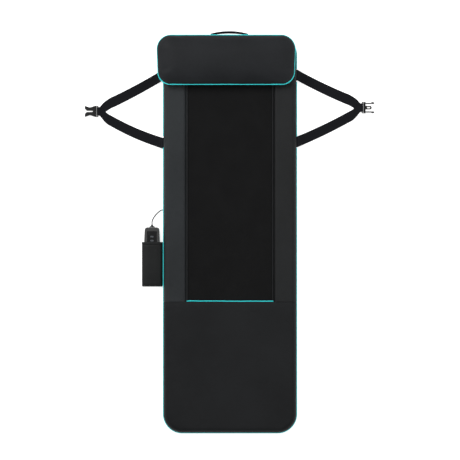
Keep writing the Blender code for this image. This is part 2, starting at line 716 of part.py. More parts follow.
def strap_path(side, bar_x):
    """(x, y, z, slope) stations on the webbing: out along the floor, round the bar and back on top."""
    upper_root, lower_root = STRAP_ROOTS_Y
    wrap = BAR_RADIUS + GAP + WEBBING_THICK / 2
    floor = GAP + WEBBING_THICK / 2
    cross = 1.15 * STRAP_SLANT_WIDTH / ((upper_root - lower_root) / STRAP_REACH)
    root_x = STRAP_HINGE_X - STRAP_TUCK
    drop = [(0.0, STRAP_HINGE_Z), (0.004, STRAP_HINGE_Z), (0.014, 0.012), (0.030, 0.004), (0.052, floor)]
    out = [(root_x + along, z) for along, z in drop]
    square_x = bar_x - STRAP_SQUARE_END
    under = out + [(bar_x - cross, floor), (bar_x - 0.012, floor)]
    under += [(square_x, BAR_Z - wrap), (bar_x, BAR_Z - wrap)]
    turns = [math.radians(-90 + 180 * i / 6) for i in range(1, 6)]
    bend = [(bar_x + wrap * math.cos(a), BAR_Z + wrap * math.sin(a)) for a in turns]
    above = floor + WEBBING_THICK + 2 * GAP
    over = out + [(bar_x - cross, floor + GAP), (bar_x - 0.8 * cross, above)]
    over += [(bar_x - 0.016, above + GAP), (square_x, BAR_Z + wrap), (bar_x, BAR_Z + wrap)]

    def slant(x, root_y):
        share = min(1.0, (x - root_x) / (square_x - root_x))
        return root_y + (apex_y(side) - root_y) * share

    first = [(x, slant(x, upper_root), z) for x, z in under]
    middle = [(x, apex_y(side), z) for x, z in bend]
    last = [(x, slant(x, lower_root), z) for x, z in reversed(over)]
    return first + middle + last


def strap(name, side, bar_x, body):
    """Webbing that runs from the seam round the buckle's bar and back to the seam, as a closed solid."""
    path = strap_path(side, bar_x)
    rings = []
    for i, (x, y, z) in enumerate(path):
        before, after = path[max(i - 1, 0)], path[min(i + 1, len(path) - 1)]
        dx, dz = after[0] - before[0], after[2] - before[2]
        length = math.hypot(dx, dz)
        nx, nz = -dz / length * WEBBING_THICK / 2, dx / length * WEBBING_THICK / 2
        half = STRAP_SLANT_WIDTH / 2
        corners = ((-half, 1), (half, 1), (half, -1), (-half, -1))
        rings.append([(side * (x + k * nx), y + w, z + k * nz) for w, k in corners])
    return loft(name, rings, "webbing", body)


def plan_piece(name, outline_uv, low, high, side, bar_x, body):
    """A flat moulded piece drawn in the buckle's own (outward, along the bar) plane."""
    points = [(side * (bar_x + u), apex_y(side) + v) for u, v in outline_uv]
    return prism(name, points, BAR_Z + low, BAR_Z + high, "plastic", body)


def rectangle(low_u, high_u, low_v, high_v):
    return [(low_u, low_v), (high_u, low_v), (high_u, high_v), (low_u, high_v)]


def buckle_bar(name, side, bar_x, body):
    """The round bar that the webbing goes round, between two arms."""
    half = BUCKLE_WIDTH / 2 - BUCKLE_ARM / 2
    place = (side * bar_x, apex_y(side), BAR_Z)
    return cylinder(name, BAR_RADIUS, place, -half, half, "Y", "plastic", body, 12)


def buckle_arms(target, word, reach, tall, side, bar_x, body):
    """Join the two arms that carry the bar."""
    outer, inner = BUCKLE_WIDTH / 2, BUCKLE_WIDTH / 2 - BUCKLE_ARM
    for place, low_v, high_v in (("upper", inner, outer), ("lower", -outer, -inner)):
        points = rectangle(-BAR_RADIUS, reach, low_v, high_v)
        arm = plan_piece(f"join_{word}_arm_{place}", points, -tall, tall, side, bar_x, body)
        combine(target, arm, "UNION")


def mirrored(points):
    """A plan outline with its reflection across the buckle's centre line."""
    return points + [(u, -v) for u, v in reversed(points)]


def buckle_socket(side, bar_x, body):
    """The female half: a waisted shell with windows for the prongs and a notch in its mouth."""
    half, waist = BUCKLE_WIDTH / 2, SOCKET_WAIST / 2
    start, end = BUCKLE_SLOT, BUCKLE_SLOT + SOCKET_LENGTH
    steps = 8
    middle = start + 0.56 * SOCKET_LENGTH
    side_curve = []
    for i in range(steps + 1):
        share = i / steps
        u = start + SOCKET_LENGTH * share
        dip = math.exp(-(((u - middle) / (0.30 * SOCKET_LENGTH)) ** 2))
        side_curve.append((u, half - (half - waist) * dip))
    side_curve[0] = (start, half)
    tall = BUCKLE_HEIGHT / 2
    shell = plan_piece("buckle_socket", mirrored(side_curve)[::-1], -tall, tall, side, bar_x, body)
    buckle_arms(shell, "socket", start + 0.004, tall * 0.7, side, bar_x, body)
    combine(shell, buckle_bar("join_socket_bar", side, bar_x, body), "UNION")
    wall, inner = SOCKET_WALL, half - SOCKET_WALL - 0.002
    cavity = rectangle(start + 0.006, end + 0.01, -inner, inner)
    combine(shell, plan_piece("cut_socket_cavity", cavity, -tall + wall, tall - wall, side, bar_x, body))
    notch_half, flare = NOTCH_WIDTH / 2, end - 0.006
    notch = circle(notch_half, 6, (end - NOTCH_LENGTH + notch_half, 0.0), 90.0, 180.0)
    notch += [(flare, -notch_half), (end + 0.002, -NOTCH_WIDTH)]
    notch += [(end + 0.002, NOTCH_WIDTH), (flare, notch_half)]
    return combine(shell, plan_piece("cut_socket_notch", notch, 0.0, tall + 0.01, side, bar_x, body))


def buckle_plug(side, bar_x, body):
    """The male half: bar, block, and a slotted guide between the two prongs."""
    half, thick = BUCKLE_WIDTH / 2, PLUG_THICK / 2
    start, end = BUCKLE_SLOT, BUCKLE_SLOT + PLUG_BLOCK
    block = plan_piece("buckle_plug", rectangle(start, end, -half, half), -thick, thick, side, bar_x, body)
    buckle_arms(block, "plug", start + 0.002, thick * 0.9, side, bar_x, body)
    combine(block, buckle_bar("join_plug_bar", side, bar_x, body), "UNION")
    nose = end + GUIDE_LENGTH
    wide = GUIDE_WIDTH / 2
    guide = mirrored([(end - 0.002, wide), (nose - 0.004, wide), (nose, wide / 2)])[::-1]
    post = plan_piece("join_plug_guide", guide, -thick * 0.8, thick * 0.8, side, bar_x, body)
    combine(block, post, "UNION")
    slot_start = end + (GUIDE_LENGTH - GUIDE_SLOT[0]) / 2
    slot = rectangle(slot_start, slot_start + GUIDE_SLOT[0], -GUIDE_SLOT[1] / 2, GUIDE_SLOT[1] / 2)
    combine(block, plan_piece("cut_plug_slot", slot, -0.01, 0.01, side, bar_x, body))
    for way, word in ((1, "upper"), (-1, "lower")):
        ring = circle(PRONG_WIDTH / 2 + GAP, 16, (end, way * PRONG_ROOT_Y))
        combine(block, plan_piece(f"cut_plug_root_{word}", ring, -0.01, 0.01, side, bar_x, body))
    return block


def prong(name, way, side, bar_x, body):
    """A springy prong with a barb outside, turning about its round root in the plug's block."""
    root = BUCKLE_SLOT + PLUG_BLOCK
    half = PRONG_WIDTH / 2
    tip = root + PRONG_LENGTH
    spin = pivot(f"{name}_root", (side * (bar_x + root), apex_y(side) + way * PRONG_ROOT_Y, BAR_Z), body)
    heel = circle(half, 6, (root, 0.0), 90.0, 180.0)
    blade = [(tip - 0.015, -half), (tip - 0.003, -half), (tip, -half + 0.002)]
    blade += [(tip - 0.003, half + PRONG_BARB * 0.6), (tip - 0.013, half + PRONG_BARB), (tip - 0.013, half)]
    points = [(u, way * (PRONG_ROOT_Y + v)) for u, v in heel + blade]
    return plan_piece(name, points, -PLUG_THICK * 0.42, PLUG_THICK * 0.42, side, bar_x, spin)


def build_straps():
    """Both V-shaped straps with their buckle halves, which lift about the mat's edge seams."""
    bar_x = EDGE_X + STRAP_REACH
    for name, side in (("left", -1), ("right", 1)):
        lift = pivot(f"{name}_strap_lift", (side * STRAP_HINGE_X, apex_y(side), STRAP_HINGE_Z))
        strap(f"{name}_strap", side, bar_x, lift)
        turn = pivot(f"{name}_buckle_turn", (side * bar_x, apex_y(side), BAR_Z), lift)
        if side < 0:
            buckle_socket(side, bar_x, turn)
            continue
        buckle_plug(side, bar_x, turn)
        prong("upper_prong", 1, side, bar_x, turn)
        prong("lower_prong", -1, side, bar_x, turn)


# Carry handle ------------------------------------------------------------------------------------
def build_handle():
    """A bowed webbing-covered handle at the head end, which swings about its two sewn ends."""
    swing = pivot("handle_swing", (HANDLE_X, HANDLE_Y, HANDLE_Z))
    steps = 14
    points = []
    for i in range(steps + 1):
        share = -1 + 2 * i / steps
        points.append((HANDLE_X + share * HANDLE_SPAN / 2, HANDLE_Y + HANDLE_BOW * (1 - share**2), HANDLE_Z))
    cord("carry_handle", points, HANDLE_RADIUS, "webbing", swing)


# Handset, pocket and cord ------------------------------------------------------------------------
def handset_outline(inset, _=0.0):
    """The handset's plan, a little wider at its middle."""
    low, high = HANDSET_TOP_Y - HANDSET_LENGTH, HANDSET_TOP_Y
    centre = (low + high) / 2
    half = HANDSET_WIDTH / 2
    plain = outline(half, low, high, HANDSET_CORNER, HANDSET_CORNER, inset, 3)
    sides = [low + HANDSET_LENGTH * share for share in (0.25, 0.5, 0.75)]
    right = [(half - inset, y) for y in sides]
    left = [(-half + inset, y) for y in reversed(sides)]
    points = plain[:8] + right + plain[8:] + left

    def bulge(y):
        return 1 + HANDSET_BULGE / HANDSET_WIDTH * (1 - ((y - centre) / (HANDSET_LENGTH / 2)) ** 2)

    return [(HANDSET_X + x * bulge(y), y) for x, y in points]


def handset_profile(shrink, up):
    """(inset, z) from the handset's seam to its face, above (up = 1) or below (up = -1) the seam."""
    half = HANDSET_THICK / 2
    corner = 0.004
    heights = [(0.0, GAP / 2), (0.0, half - corner), (0.3 * corner, half - 0.3 * corner), (corner, half)]
    inner = [(inset + shrink, z - shrink if z > GAP else z) for inset, z in heights]
    return [(inset, HANDSET_SEAM_Z + up * z) for inset, z in inner]


def handset_shell(name, up, body):
    outer = layers(handset_outline, reversed(handset_profile(0.0, up)))
    inner = layers(handset_outline, handset_profile(HANDSET_WALL, up))
    return loft(name, outer + inner, "handset", body)


def oval(length, width, centre, grow=0.0, steps=5):
    """An upright stadium's outline, long across X."""
    r = width / 2 + grow
    reach = length / 2 - width / 2
    right = circle(r, steps, (centre[0] + reach, centre[1]), -90.0, 180.0)
    left = circle(r, steps, (centre[0] - reach, centre[1]), 90.0, 180.0)
    return right + left


def build_handset(slide):
    """The wired handset, which slides up out of its pocket."""
    front = handset_shell("handset_front_shell", 1, slide)
    handset_shell("handset_back_shell", -1, slide)
    face_z = HANDSET_Z + HANDSET_THICK
    low = (HANDSET_X - KEYPAD_WIDTH / 2, HANDSET_TOP_Y - KEYPAD_TOP_GAP - KEYPAD_LENGTH)
    high = (HANDSET_X + KEYPAD_WIDTH / 2, HANDSET_TOP_Y - KEYPAD_TOP_GAP)
    plate_z = face_z - KEYPAD_THICK + GAP
    cut_low, cut_high = [a - GAP for a in low], [a + GAP for a in high]
    cut_box(front, "keypad_recess", (*cut_low, plate_z - GAP), (*cut_high, face_z + 0.01))
    plate = box("handset_keypad_plate", (*low, plate_z), (*high, plate_z + KEYPAD_THICK), "plastic", slide)
    for number in range(1, KEY_COUNT + 1):
        centre = (HANDSET_X, HANDSET_TOP_Y - FIRST_KEY - (number - 1) * KEY_PITCH)
        top = plate_z + KEYPAD_THICK + KEY_RISE
        press = pivot(f"key_press_{number}", (*centre, top), slide)
        prism(f"key_{number}", oval(KEY_LENGTH, KEY_WIDTH, centre), top - KEY_DEPTH, top, "rubber", press)
        hole = prism(
            f"cut_key_{number}",
            oval(KEY_LENGTH, KEY_WIDTH, centre, GAP),
            face_z - 0.01,
            face_z + 0.01,
            "plastic",
            slide,
        )
        combine(front, hole)
        combine(plate, hole)
    inset = HANDSET_WALL + GAP
    board_z = HANDSET_SEAM_Z + 0.001
    rings = [(inset, board_z), (inset, board_z + BOARD_THICK)]
    loft("handset_circuit_board", layers(handset_outline, rings), "circuit", slide)
    relief = [
        (0.0, 0.0),
        (0.0, RELIEF_RADIUS),
        (0.4 * RELIEF_LENGTH, RELIEF_RADIUS * 0.85),
        (RELIEF_LENGTH, RELIEF_TIP_RADIUS),
        (RELIEF_LENGTH, 0.0),
    ]
    place = (HANDSET_X, HANDSET_TOP_Y + GAP, HANDSET_SEAM_Z)
    turned("handset_strain_relief", relief, place, "Y", "rubber", slide)


def pocket_section(shrink):
    """(x, z) round the pocket's cross-section, shrunk by its cover for the inside."""
    low_x, high_x = POCKET_RIGHT_X - POCKET_WIDTH + shrink, POCKET_RIGHT_X - shrink
    low_z, high_z = GAP + shrink, POCKET_TOP_Z - shrink
    r = POCKET_ROLL - shrink
    points = []
    for cx, cz, start in (
        (low_x + r, low_z + r * 0.6, 180),
        (high_x - r, low_z + r * 0.6, 270),
        (high_x - r, high_z - r, 0),
        (low_x + r, high_z - r, 90),
    ):
        for i in range(4):
            a = math.radians(start + 30 * i)
            flat = 0.6 if start in (180, 270) else 1.0
            points.append((cx + r * math.cos(a), cz + r * flat * math.sin(a)))
    return points


def build_pocket():
    """The handset's pocket, sewn under the left edge piping by a tongue along its length."""
    mouth, end = POCKET_MOUTH_Y, POCKET_MOUTH_Y - POCKET_LENGTH
    outer, inner = pocket_section(0.0), pocket_section(POCKET_COVER)
    rings = [[(x, y, z) for x, z in outer] for y in (end, mouth)]
    rings += [[(x, y, z) for x, z in inner] for y in (mouth, end + POCKET_COVER)]
    pocket = loft("controller_pocket", rings, "leather")
    low = (POCKET_RIGHT_X - POCKET_COVER * 0.8, end + 0.004, RIM_Z + GAP)
    tongue = box("join_pocket_tongue", low, (-EDGE_X + SEAM_INSET + COVER, mouth - 0.004, TAPE_Z), "leather")
    combine(pocket, tongue, "UNION")


def smooth_route(points, step):
    """Points along a smooth curve through the route's own points, about a step apart."""
    ends = [[2 * a - b for a, b in zip(points[0], points[1])]]
    ends += list(points) + [[2 * a - b for a, b in zip(points[-1], points[-2])]]
    made = []
    for p0, p1, p2, p3 in zip(ends, ends[1:], ends[2:], ends[3:]):
        count = max(1, round(math.dist(p1, p2) / step))
        for i in range(count):
            t = i / count
            made.append([on_curve(a, b, c, d, t) for a, b, c, d in zip(p0, p1, p2, p3)])
    return made + [list(points[-1])]


def on_curve(a, b, c, d, t):
    """One value on the smooth curve from b to c, with a before it and d after."""
    bend = (2 * a - 5 * b + 4 * c - d) * t**2 + (3 * b - a - 3 * c + d) * t**3
    return 0.5 * (2 * b + (c - a) * t + bend)


def handset_cord():
    """The handset's cord, lying from the grommet to the strain relief."""
    start = (-EDGE_X - GAP, GROMMET_Y, GROMMET_Z)
    end = (HANDSET_X, RELIEF_TIP_Y + GAP, HANDSET_SEAM_Z)
    lay = (
        (0.0085, 0.1035, 0.0115),
        (0.0200, 0.0950, 0.0065),
        (0.0320, 0.0830, 0.0042),
        (0.0420, 0.0680, 0.0060),
    )
    between = [(-EDGE_X - aside, y, z) for aside, y, z in lay]
    between.append((HANDSET_X + 0.0002, 0.0560, HANDSET_SEAM_Z - 0.0020))
    between.append((HANDSET_X, 0.0490, HANDSET_SEAM_Z - 0.0001))
    cord("handset_cord", smooth_route((start, *between, end), 0.0045), CORD_RADIUS, "rubber")


def main():
    for old in list(bpy.data.objects):
        bpy.data.objects.remove(old)
    build_mat()
    build_leg()
    build_pillow()
    build_straps()
    build_handle()
    build_pocket()
    build_handset(pivot("handset_slide", (HANDSET_X, POCKET_MOUTH_Y, HANDSET_SEAM_Z)))
    handset_cord()


main()
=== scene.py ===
"""Studio scene of a full-length heated massage mat, dressed over its fixed frame.

The frame gives every size and place. Each sub-assembly is a class that reads its sizes from the
frame, builds its own meshes and dresses them in this object's finishes: grained faux leather,
air mesh, satin piping, webbing, moulded plastic and rubber.
"""
from __future__ import annotations

import logging
import math
from dataclasses import dataclass, field
from enum import Enum
from typing import Callable, ClassVar, Iterable, Sequence

import bmesh
import bpy
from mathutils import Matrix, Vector, noise

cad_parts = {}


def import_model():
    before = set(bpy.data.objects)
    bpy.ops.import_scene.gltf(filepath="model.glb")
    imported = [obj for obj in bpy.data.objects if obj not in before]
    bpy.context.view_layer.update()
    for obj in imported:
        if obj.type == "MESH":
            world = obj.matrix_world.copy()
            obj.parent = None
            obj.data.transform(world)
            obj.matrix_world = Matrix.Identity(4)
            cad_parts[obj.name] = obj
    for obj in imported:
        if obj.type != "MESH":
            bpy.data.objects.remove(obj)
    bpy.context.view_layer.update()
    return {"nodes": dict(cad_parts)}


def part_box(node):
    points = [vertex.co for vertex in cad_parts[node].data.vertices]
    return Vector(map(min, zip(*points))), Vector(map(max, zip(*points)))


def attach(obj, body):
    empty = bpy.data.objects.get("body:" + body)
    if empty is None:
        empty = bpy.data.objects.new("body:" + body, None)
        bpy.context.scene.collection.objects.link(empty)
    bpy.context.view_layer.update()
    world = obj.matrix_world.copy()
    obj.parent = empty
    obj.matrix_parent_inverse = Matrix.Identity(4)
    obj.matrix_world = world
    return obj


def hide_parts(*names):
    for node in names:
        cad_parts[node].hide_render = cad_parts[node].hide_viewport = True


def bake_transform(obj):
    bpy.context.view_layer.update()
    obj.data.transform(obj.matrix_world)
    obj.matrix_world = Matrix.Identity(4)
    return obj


LOG = logging.getLogger("massage_mat")
Point = tuple[float, float, float]
Plan = tuple[float, float]

ROLL_STEPS = (0.0, 0.0008, 0.0025, 0.005, 0.0085, 0.0125, 0.017, 0.022)
"""Distances in from an outer seam at which a rolled edge gets a row of points."""
GROOVE_STEPS = (0.0, 0.0028, 0.0034, 0.0037, 0.0046, 0.006, 0.0082, 0.011, 0.014)
"""Distances out from the mesh at which a side panel's inner edge gets a row of points."""
STITCH_INSET = 0.0165
"""From the edge seam's cover to the row of thread inside it."""
STITCH_LIFT = 0.0001
"""How far thread lies over the leather."""
ROOTS_Y = (0.682, 0.396)
"""Where a strap's two arms are sewn into the edge."""
LEFT_ROOTS_Y = (0.682, 0.390)
"""The same for the left strap, whose lower arm leaves a little nearer the foot."""
LEFT_LOWER_SAG = 0.0100
ROOT_GAP_HALF = 0.0236
"""Half the break in the edge piping at a strap's root."""
BAR_INSET = 0.0040
"""From the outer end of a strap's frame node to the middle of the buckle's bar."""
BAR_Z = 0.006


class Side(Enum):
    """The two long sides of the mat, as the sign of X."""

    LEFT = -1
    RIGHT = 1


class Body(Enum):
    """The moving bodies that pieces ride on."""

    BACK = "back_section"
    LEG = "leg_section"
    PILLOW = "pillow"
    LEFT_STRAP = "left_strap"
    RIGHT_STRAP = "right_strap"
    SOCKET = "socket"
    PLUG = "plug"
    UPPER_PRONG = "upper_prong"
    LOWER_PRONG = "lower_prong"
    HANDLE = "handle"
    HANDSET = "handset"
    KEY_1 = "key_1"
    KEY_2 = "key_2"
    KEY_3 = "key_3"
    KEY_4 = "key_4"


# Shader groups -----------------------------------------------------------------------------------
@dataclass(frozen=True)
class GroupSpec:
    """The named sockets of a shader group."""

    name: str
    floats: tuple[tuple[str, float], ...]
    outputs: tuple[tuple[str, str], ...]


def start_group(spec: GroupSpec) -> tuple[bpy.types.ShaderNodeTree, bpy.types.Node, bpy.types.Node]:
    """Make an empty shader group with its sockets.

    Args:
        spec: The group's name and sockets.

    Returns:
        The tree, its input node and its output node.
    """
    tree = bpy.data.node_groups.new(spec.name, "ShaderNodeTree")
    for name, value in spec.floats:
        socket = tree.interface.new_socket(name, in_out="INPUT", socket_type="NodeSocketFloat")
        socket.default_value = value
    for name, kind in spec.outputs:
        tree.interface.new_socket(name, in_out="OUTPUT", socket_type=kind)
    return tree, tree.nodes.new("NodeGroupInput"), tree.nodes.new("NodeGroupOutput")


@dataclass
class Wiring:
    """Short calls for adding and joining nodes in one tree."""

    tree: bpy.types.NodeTree

    def node(self, kind: str, **settings: object) -> bpy.types.Node:
        """Add a node and set its properties."""
        made = self.tree.nodes.new(kind)
        for name, value in settings.items():
            setattr(made, name, value)
        return made

    def join(self, source: bpy.types.NodeSocket, target: bpy.types.NodeSocket) -> None:
        """Link two sockets."""
        self.tree.links.new(source, target)

    def math(self, operation: str, first: object, second: object = 0.0) -> bpy.types.NodeSocket:
        """Work out one sum.

        Args:
            operation: The Math node's operation.
            first: A socket or a number.
            second: A socket or a number.

        Returns:
            The result's socket.
        """
        made = self.node("ShaderNodeMath", operation=operation)
        for socket, value in zip(made.inputs, (first, second)):
            if isinstance(value, bpy.types.NodeSocket):
                self.join(value, socket)
            else:
                socket.default_value = value
        return made.outputs[0]

    def spread(self, value: bpy.types.NodeSocket, low: float, high: float) -> bpy.types.NodeSocket:
        """Stretch a value so that low becomes 0 and high becomes 1, clamped."""
        made = self.node("ShaderNodeMapRange")
        self.join(value, made.inputs["Value"])
        made.inputs["From Min"].default_value = low
        made.inputs["From Max"].default_value = high
        return made.outputs["Result"]

    def place(self) -> bpy.types.NodeSocket:
        """Object coordinates, in metres."""
        return self.node("ShaderNodeTexCoord").outputs["Object"]

    def scaled_place(self, scale: bpy.types.NodeSocket) -> bpy.types.NodeSocket:
        """Object coordinates times a scale."""
        made = self.node("ShaderNodeVectorMath", operation="SCALE")
        self.join(self.place(), made.inputs[0])
        self.join(scale, made.inputs["Scale"])
        return made.outputs[0]


def leather_grain_group() -> bpy.types.ShaderNodeTree:
    """Pebbled leather: fine cells, a few long creases and slow changes of tone.

    Returns:
        A group with Height (metres), Tone and Crease outputs, from 0 to 1.
    """
    spec = GroupSpec(
        "leather_grain",
        (("Cell Scale", 950.0), ("Crease Scale", 26.0), ("Tone Scale", 5.0), ("Grain Depth", 0.00012)),
        (("Height", "NodeSocketFloat"), ("Tone", "NodeSocketFloat"), ("Crease", "NodeSocketFloat")),
    )
    tree, given, out = start_group(spec)
    wire = Wiring(tree)
    cells = wire.node("ShaderNodeTexVoronoi", feature="SMOOTH_F1")
    wire.join(wire.scaled_place(given.outputs["Cell Scale"]), cells.inputs["Vector"])
    cells.inputs["Scale"].default_value = 1.0
    fine = wire.node("ShaderNodeTexNoise")
    wire.join(wire.scaled_place(given.outputs["Cell Scale"]), fine.inputs["Vector"])
    fine.inputs["Scale"].default_value = 0.45
    creases = wire.node("ShaderNodeTexNoise")
    wire.join(wire.scaled_place(given.outputs["Crease Scale"]), creases.inputs["Vector"])
    creases.inputs["Scale"].default_value = 1.0
    creases.inputs["Detail"].default_value = 4.0
    creases.inputs["Distortion"].default_value = 1.2
    line = wire.math("ABSOLUTE", wire.math("SUBTRACT", creases.outputs["Fac"], 0.5))
    crease = wire.math("SUBTRACT", 1.0, wire.spread(line, 0.0, 0.035))
    tones = wire.node("ShaderNodeTexNoise")
    wire.join(wire.scaled_place(given.outputs["Tone Scale"]), tones.inputs["Vector"])
    tones.inputs["Scale"].default_value = 1.0
    tones.inputs["Detail"].default_value = 3.0
    pebble = wire.math("ADD", wire.math("MULTIPLY", cells.outputs["Distance"], 0.8), fine.outputs["Fac"])
    lowered = wire.math("SUBTRACT", pebble, wire.math("MULTIPLY", crease, 0.35))
    wire.join(wire.math("MULTIPLY", lowered, given.outputs["Grain Depth"]), out.inputs["Height"])
    wire.join(wire.spread(tones.outputs["Fac"], 0.3, 0.7), out.inputs["Tone"])
    # Crease also sets where the leather finishes paint shade into the creases.
    wire.join(crease, out.inputs["Crease"])
    return tree


def weave_group() -> bpy.types.ShaderNodeTree:
    """Over-and-under threads across two directions, for webbing, tape and cord cover.

    Returns:
        A group with Height (metres) and Thread outputs.
    """
    spec = GroupSpec(
        "woven_threads",
        (("Threads", 900.0), ("Turn", 0.0), ("Depth", 0.0002)),
        (("Height", "NodeSocketFloat"), ("Thread", "NodeSocketFloat")),
    )
    tree, given, out = start_group(spec)
    wire = Wiring(tree)
    turned = wire.node("ShaderNodeVectorRotate", rotation_type="Z_AXIS")
    wire.join(wire.place(), turned.inputs["Vector"])
    wire.join(given.outputs["Turn"], turned.inputs["Angle"])
    parts = wire.node("ShaderNodeSeparateXYZ")
    wire.join(turned.outputs["Vector"], parts.inputs[0])
    across = wire.math("SINE", wire.math("MULTIPLY", parts.outputs["X"], given.outputs["Threads"]))
    along = wire.math("SINE", wire.math("MULTIPLY", parts.outputs["Y"], given.outputs["Threads"]))
    rise = wire.math("MULTIPLY", across, along)
    thread = wire.spread(rise, -1.0, 1.0)
    wire.join(wire.math("MULTIPLY", thread, given.outputs["Depth"]), out.inputs["Height"])
    wire.join(thread, out.inputs["Thread"])
    return tree


def air_mesh_group() -> bpy.types.ShaderNodeTree:
    """Open diamond cells of a spacer mesh.

    Returns:
        A group with Height (metres), Hole (1 inside a cell) and Tone outputs.
    """
    spec = GroupSpec(
        "air_mesh_cells",
        (("Cells", 700.0), ("Depth", 0.0008)),
        (("Height", "NodeSocketFloat"), ("Hole", "NodeSocketFloat"), ("Tone", "NodeSocketFloat")),
    )
    tree, given, out = start_group(spec)
    wire = Wiring(tree)
    parts = wire.node("ShaderNodeSeparateXYZ")
    wire.join(wire.place(), parts.inputs[0])
    plus = wire.math("ADD", parts.outputs["X"], wire.math("MULTIPLY", parts.outputs["Y"], 0.75))
    minus = wire.math("SUBTRACT", parts.outputs["X"], wire.math("MULTIPLY", parts.outputs["Y"], 0.75))
    first = wire.math("ABSOLUTE", wire.math("SINE", wire.math("MULTIPLY", plus, given.outputs["Cells"])))
    second = wire.math("ABSOLUTE", wire.math("SINE", wire.math("MULTIPLY", minus, given.outputs["Cells"])))
    hole = wire.spread(wire.math("MINIMUM", first, second), 0.35, 0.75)
    tones = wire.node("ShaderNodeTexNoise")
    wire.join(wire.place(), tones.inputs["Vector"])
    tones.inputs["Scale"].default_value = 14.0
    raised = wire.math("MULTIPLY", wire.math("SUBTRACT", 1.0, hole), given.outputs["Depth"])
    wire.join(raised, out.inputs["Height"])
    # Hole also sets where the mesh finish paints shade into the cells.
    wire.join(hole, out.inputs["Hole"])
    wire.join(wire.spread(tones.outputs["Fac"], 0.3, 0.7), out.inputs["Tone"])
    return tree


def moulded_skin_group() -> bpy.types.ShaderNodeTree:
    """The fine spark-eroded skin of moulded plastic and rubber, with rubbed patches.

    Returns:
        A group with Height (metres) and Rub outputs.
    """
    spec = GroupSpec(
        "moulded_skin",
        (("Grain Scale", 2600.0), ("Depth", 0.00004)),
        (("Height", "NodeSocketFloat"), ("Rub", "NodeSocketFloat")),
    )
    tree, given, out = start_group(spec)
    wire = Wiring(tree)
    grains = wire.node("ShaderNodeTexNoise")
    wire.join(wire.scaled_place(given.outputs["Grain Scale"]), grains.inputs["Vector"])
    grains.inputs["Scale"].default_value = 1.0
    rubs = wire.node("ShaderNodeTexNoise")
    wire.join(wire.place(), rubs.inputs["Vector"])
    rubs.inputs["Scale"].default_value = 70.0
    rubs.inputs["Detail"].default_value = 5.0
    wire.join(wire.math("MULTIPLY", grains.outputs["Fac"], given.outputs["Depth"]), out.inputs["Height"])
    wire.join(wire.spread(rubs.outputs["Fac"], 0.5, 0.75), out.inputs["Rub"])
    return tree


GROUPS: dict[str, Callable[[], bpy.types.ShaderNodeTree]] = {
    "leather_grain": leather_grain_group,
    "woven_threads": weave_group,
    "air_mesh_cells": air_mesh_group,
    "moulded_skin": moulded_skin_group,
}


# Finishes ----------------------------------------------------------------------------------------
Colour = tuple[float, float, float]


@dataclass(frozen=True)
class Finish:
    """What every finish shares: a name, two tones and a range of roughness."""

    name: str
    dark: Colour
    light: Colour
    rough_low: float
    rough_high: float
    specular: float = 0.5
    sheen: float = 0.0

    group: ClassVar[str] = "moulded_skin"
    mask: ClassVar[str] = "Rub"

    def values(self) -> dict[str, float]:
        """The shader group's own settings."""
        return {}

    def material(self) -> bpy.types.Material:
        """Build the material once, and give it back on later calls.

        Returns:
            The finish as a Blender material.
        """
        found = bpy.data.materials.get(self.name)
        if found:
            return found
        made = bpy.data.materials.new(self.name)
        made.use_nodes = True
        wire = Wiring(made.node_tree)
        shader = made.node_tree.nodes["Principled BSDF"]
        shader.inputs["Specular IOR Level"].default_value = self.specular
        shader.inputs["Sheen Weight"].default_value = self.sheen
        tree = bpy.data.node_groups.get(self.group) or GROUPS[self.group]()
        effect = wire.node("ShaderNodeGroup", node_tree=tree)
        for name, value in self.values().items():
            effect.inputs[name].default_value = value
        mask = self.colour_mask(wire, effect)
        tone = wire.node("ShaderNodeMix", data_type="RGBA")
        wire.join(mask, tone.inputs[0])
        tone.inputs[6].default_value = (*self.dark, 1.0)
        tone.inputs[7].default_value = (*self.light, 1.0)
        wire.join(tone.outputs[2], shader.inputs["Base Color"])
        rough = wire.node("ShaderNodeMapRange")
        wire.join(mask, rough.inputs["Value"])
        rough.inputs["To Min"].default_value = self.rough_low
        rough.inputs["To Max"].default_value = self.rough_high
        wire.join(rough.outputs["Result"], shader.inputs["Roughness"])
        bump = wire.node("ShaderNodeBump")
        bump.inputs["Distance"].default_value = 1.0
        wire.join(effect.outputs["Height"], bump.inputs["Height"])
        wire.join(bump.outputs["Normal"], shader.inputs["Normal"])
        return made

    def colour_mask(self, wire: Wiring, effect: bpy.types.Node) -> bpy.types.NodeSocket:
        """The mask between the two tones."""
        return effect.outputs[self.mask]


@dataclass(frozen=True)
class LeatherFinish(Finish):
    """Soft faux leather with pebbled grain, and painted shade darkening its creases."""

    cell_scale: float = 950.0
    crease_scale: float = 26.0
    tone_scale: float = 5.0
    depth: float = 0.00012

    group: ClassVar[str] = "leather_grain"
    mask: ClassVar[str] = "Tone"

    def values(self) -> dict[str, float]:
        """Grain and crease sizes."""
        return {
            "Cell Scale": self.cell_scale,
            "Crease Scale": self.crease_scale,
            "Tone Scale": self.tone_scale,
            "Grain Depth": self.depth,
        }

    def colour_mask(self, wire: Wiring, effect: bpy.types.Node) -> bpy.types.NodeSocket:
        """Tone, darkened a little by painted shade in the creases."""
        crease_shade = wire.math("MULTIPLY", effect.outputs["Crease"], 0.35)
        return wire.math("MAXIMUM", wire.math("SUBTRACT", effect.outputs["Tone"], crease_shade), 0.0)


@dataclass(frozen=True)
class WovenFinish(Finish):
    """Woven cloth: piping cover, webbing, tape and thread."""

    threads: float = 900.0
    turn: float = 0.0
    depth: float = 0.0002

    group: ClassVar[str] = "woven_threads"
    mask: ClassVar[str] = "Thread"

    def values(self) -> dict[str, float]:
        """Thread count, direction and depth."""
        return {"Threads": self.threads, "Turn": self.turn, "Depth": self.depth}


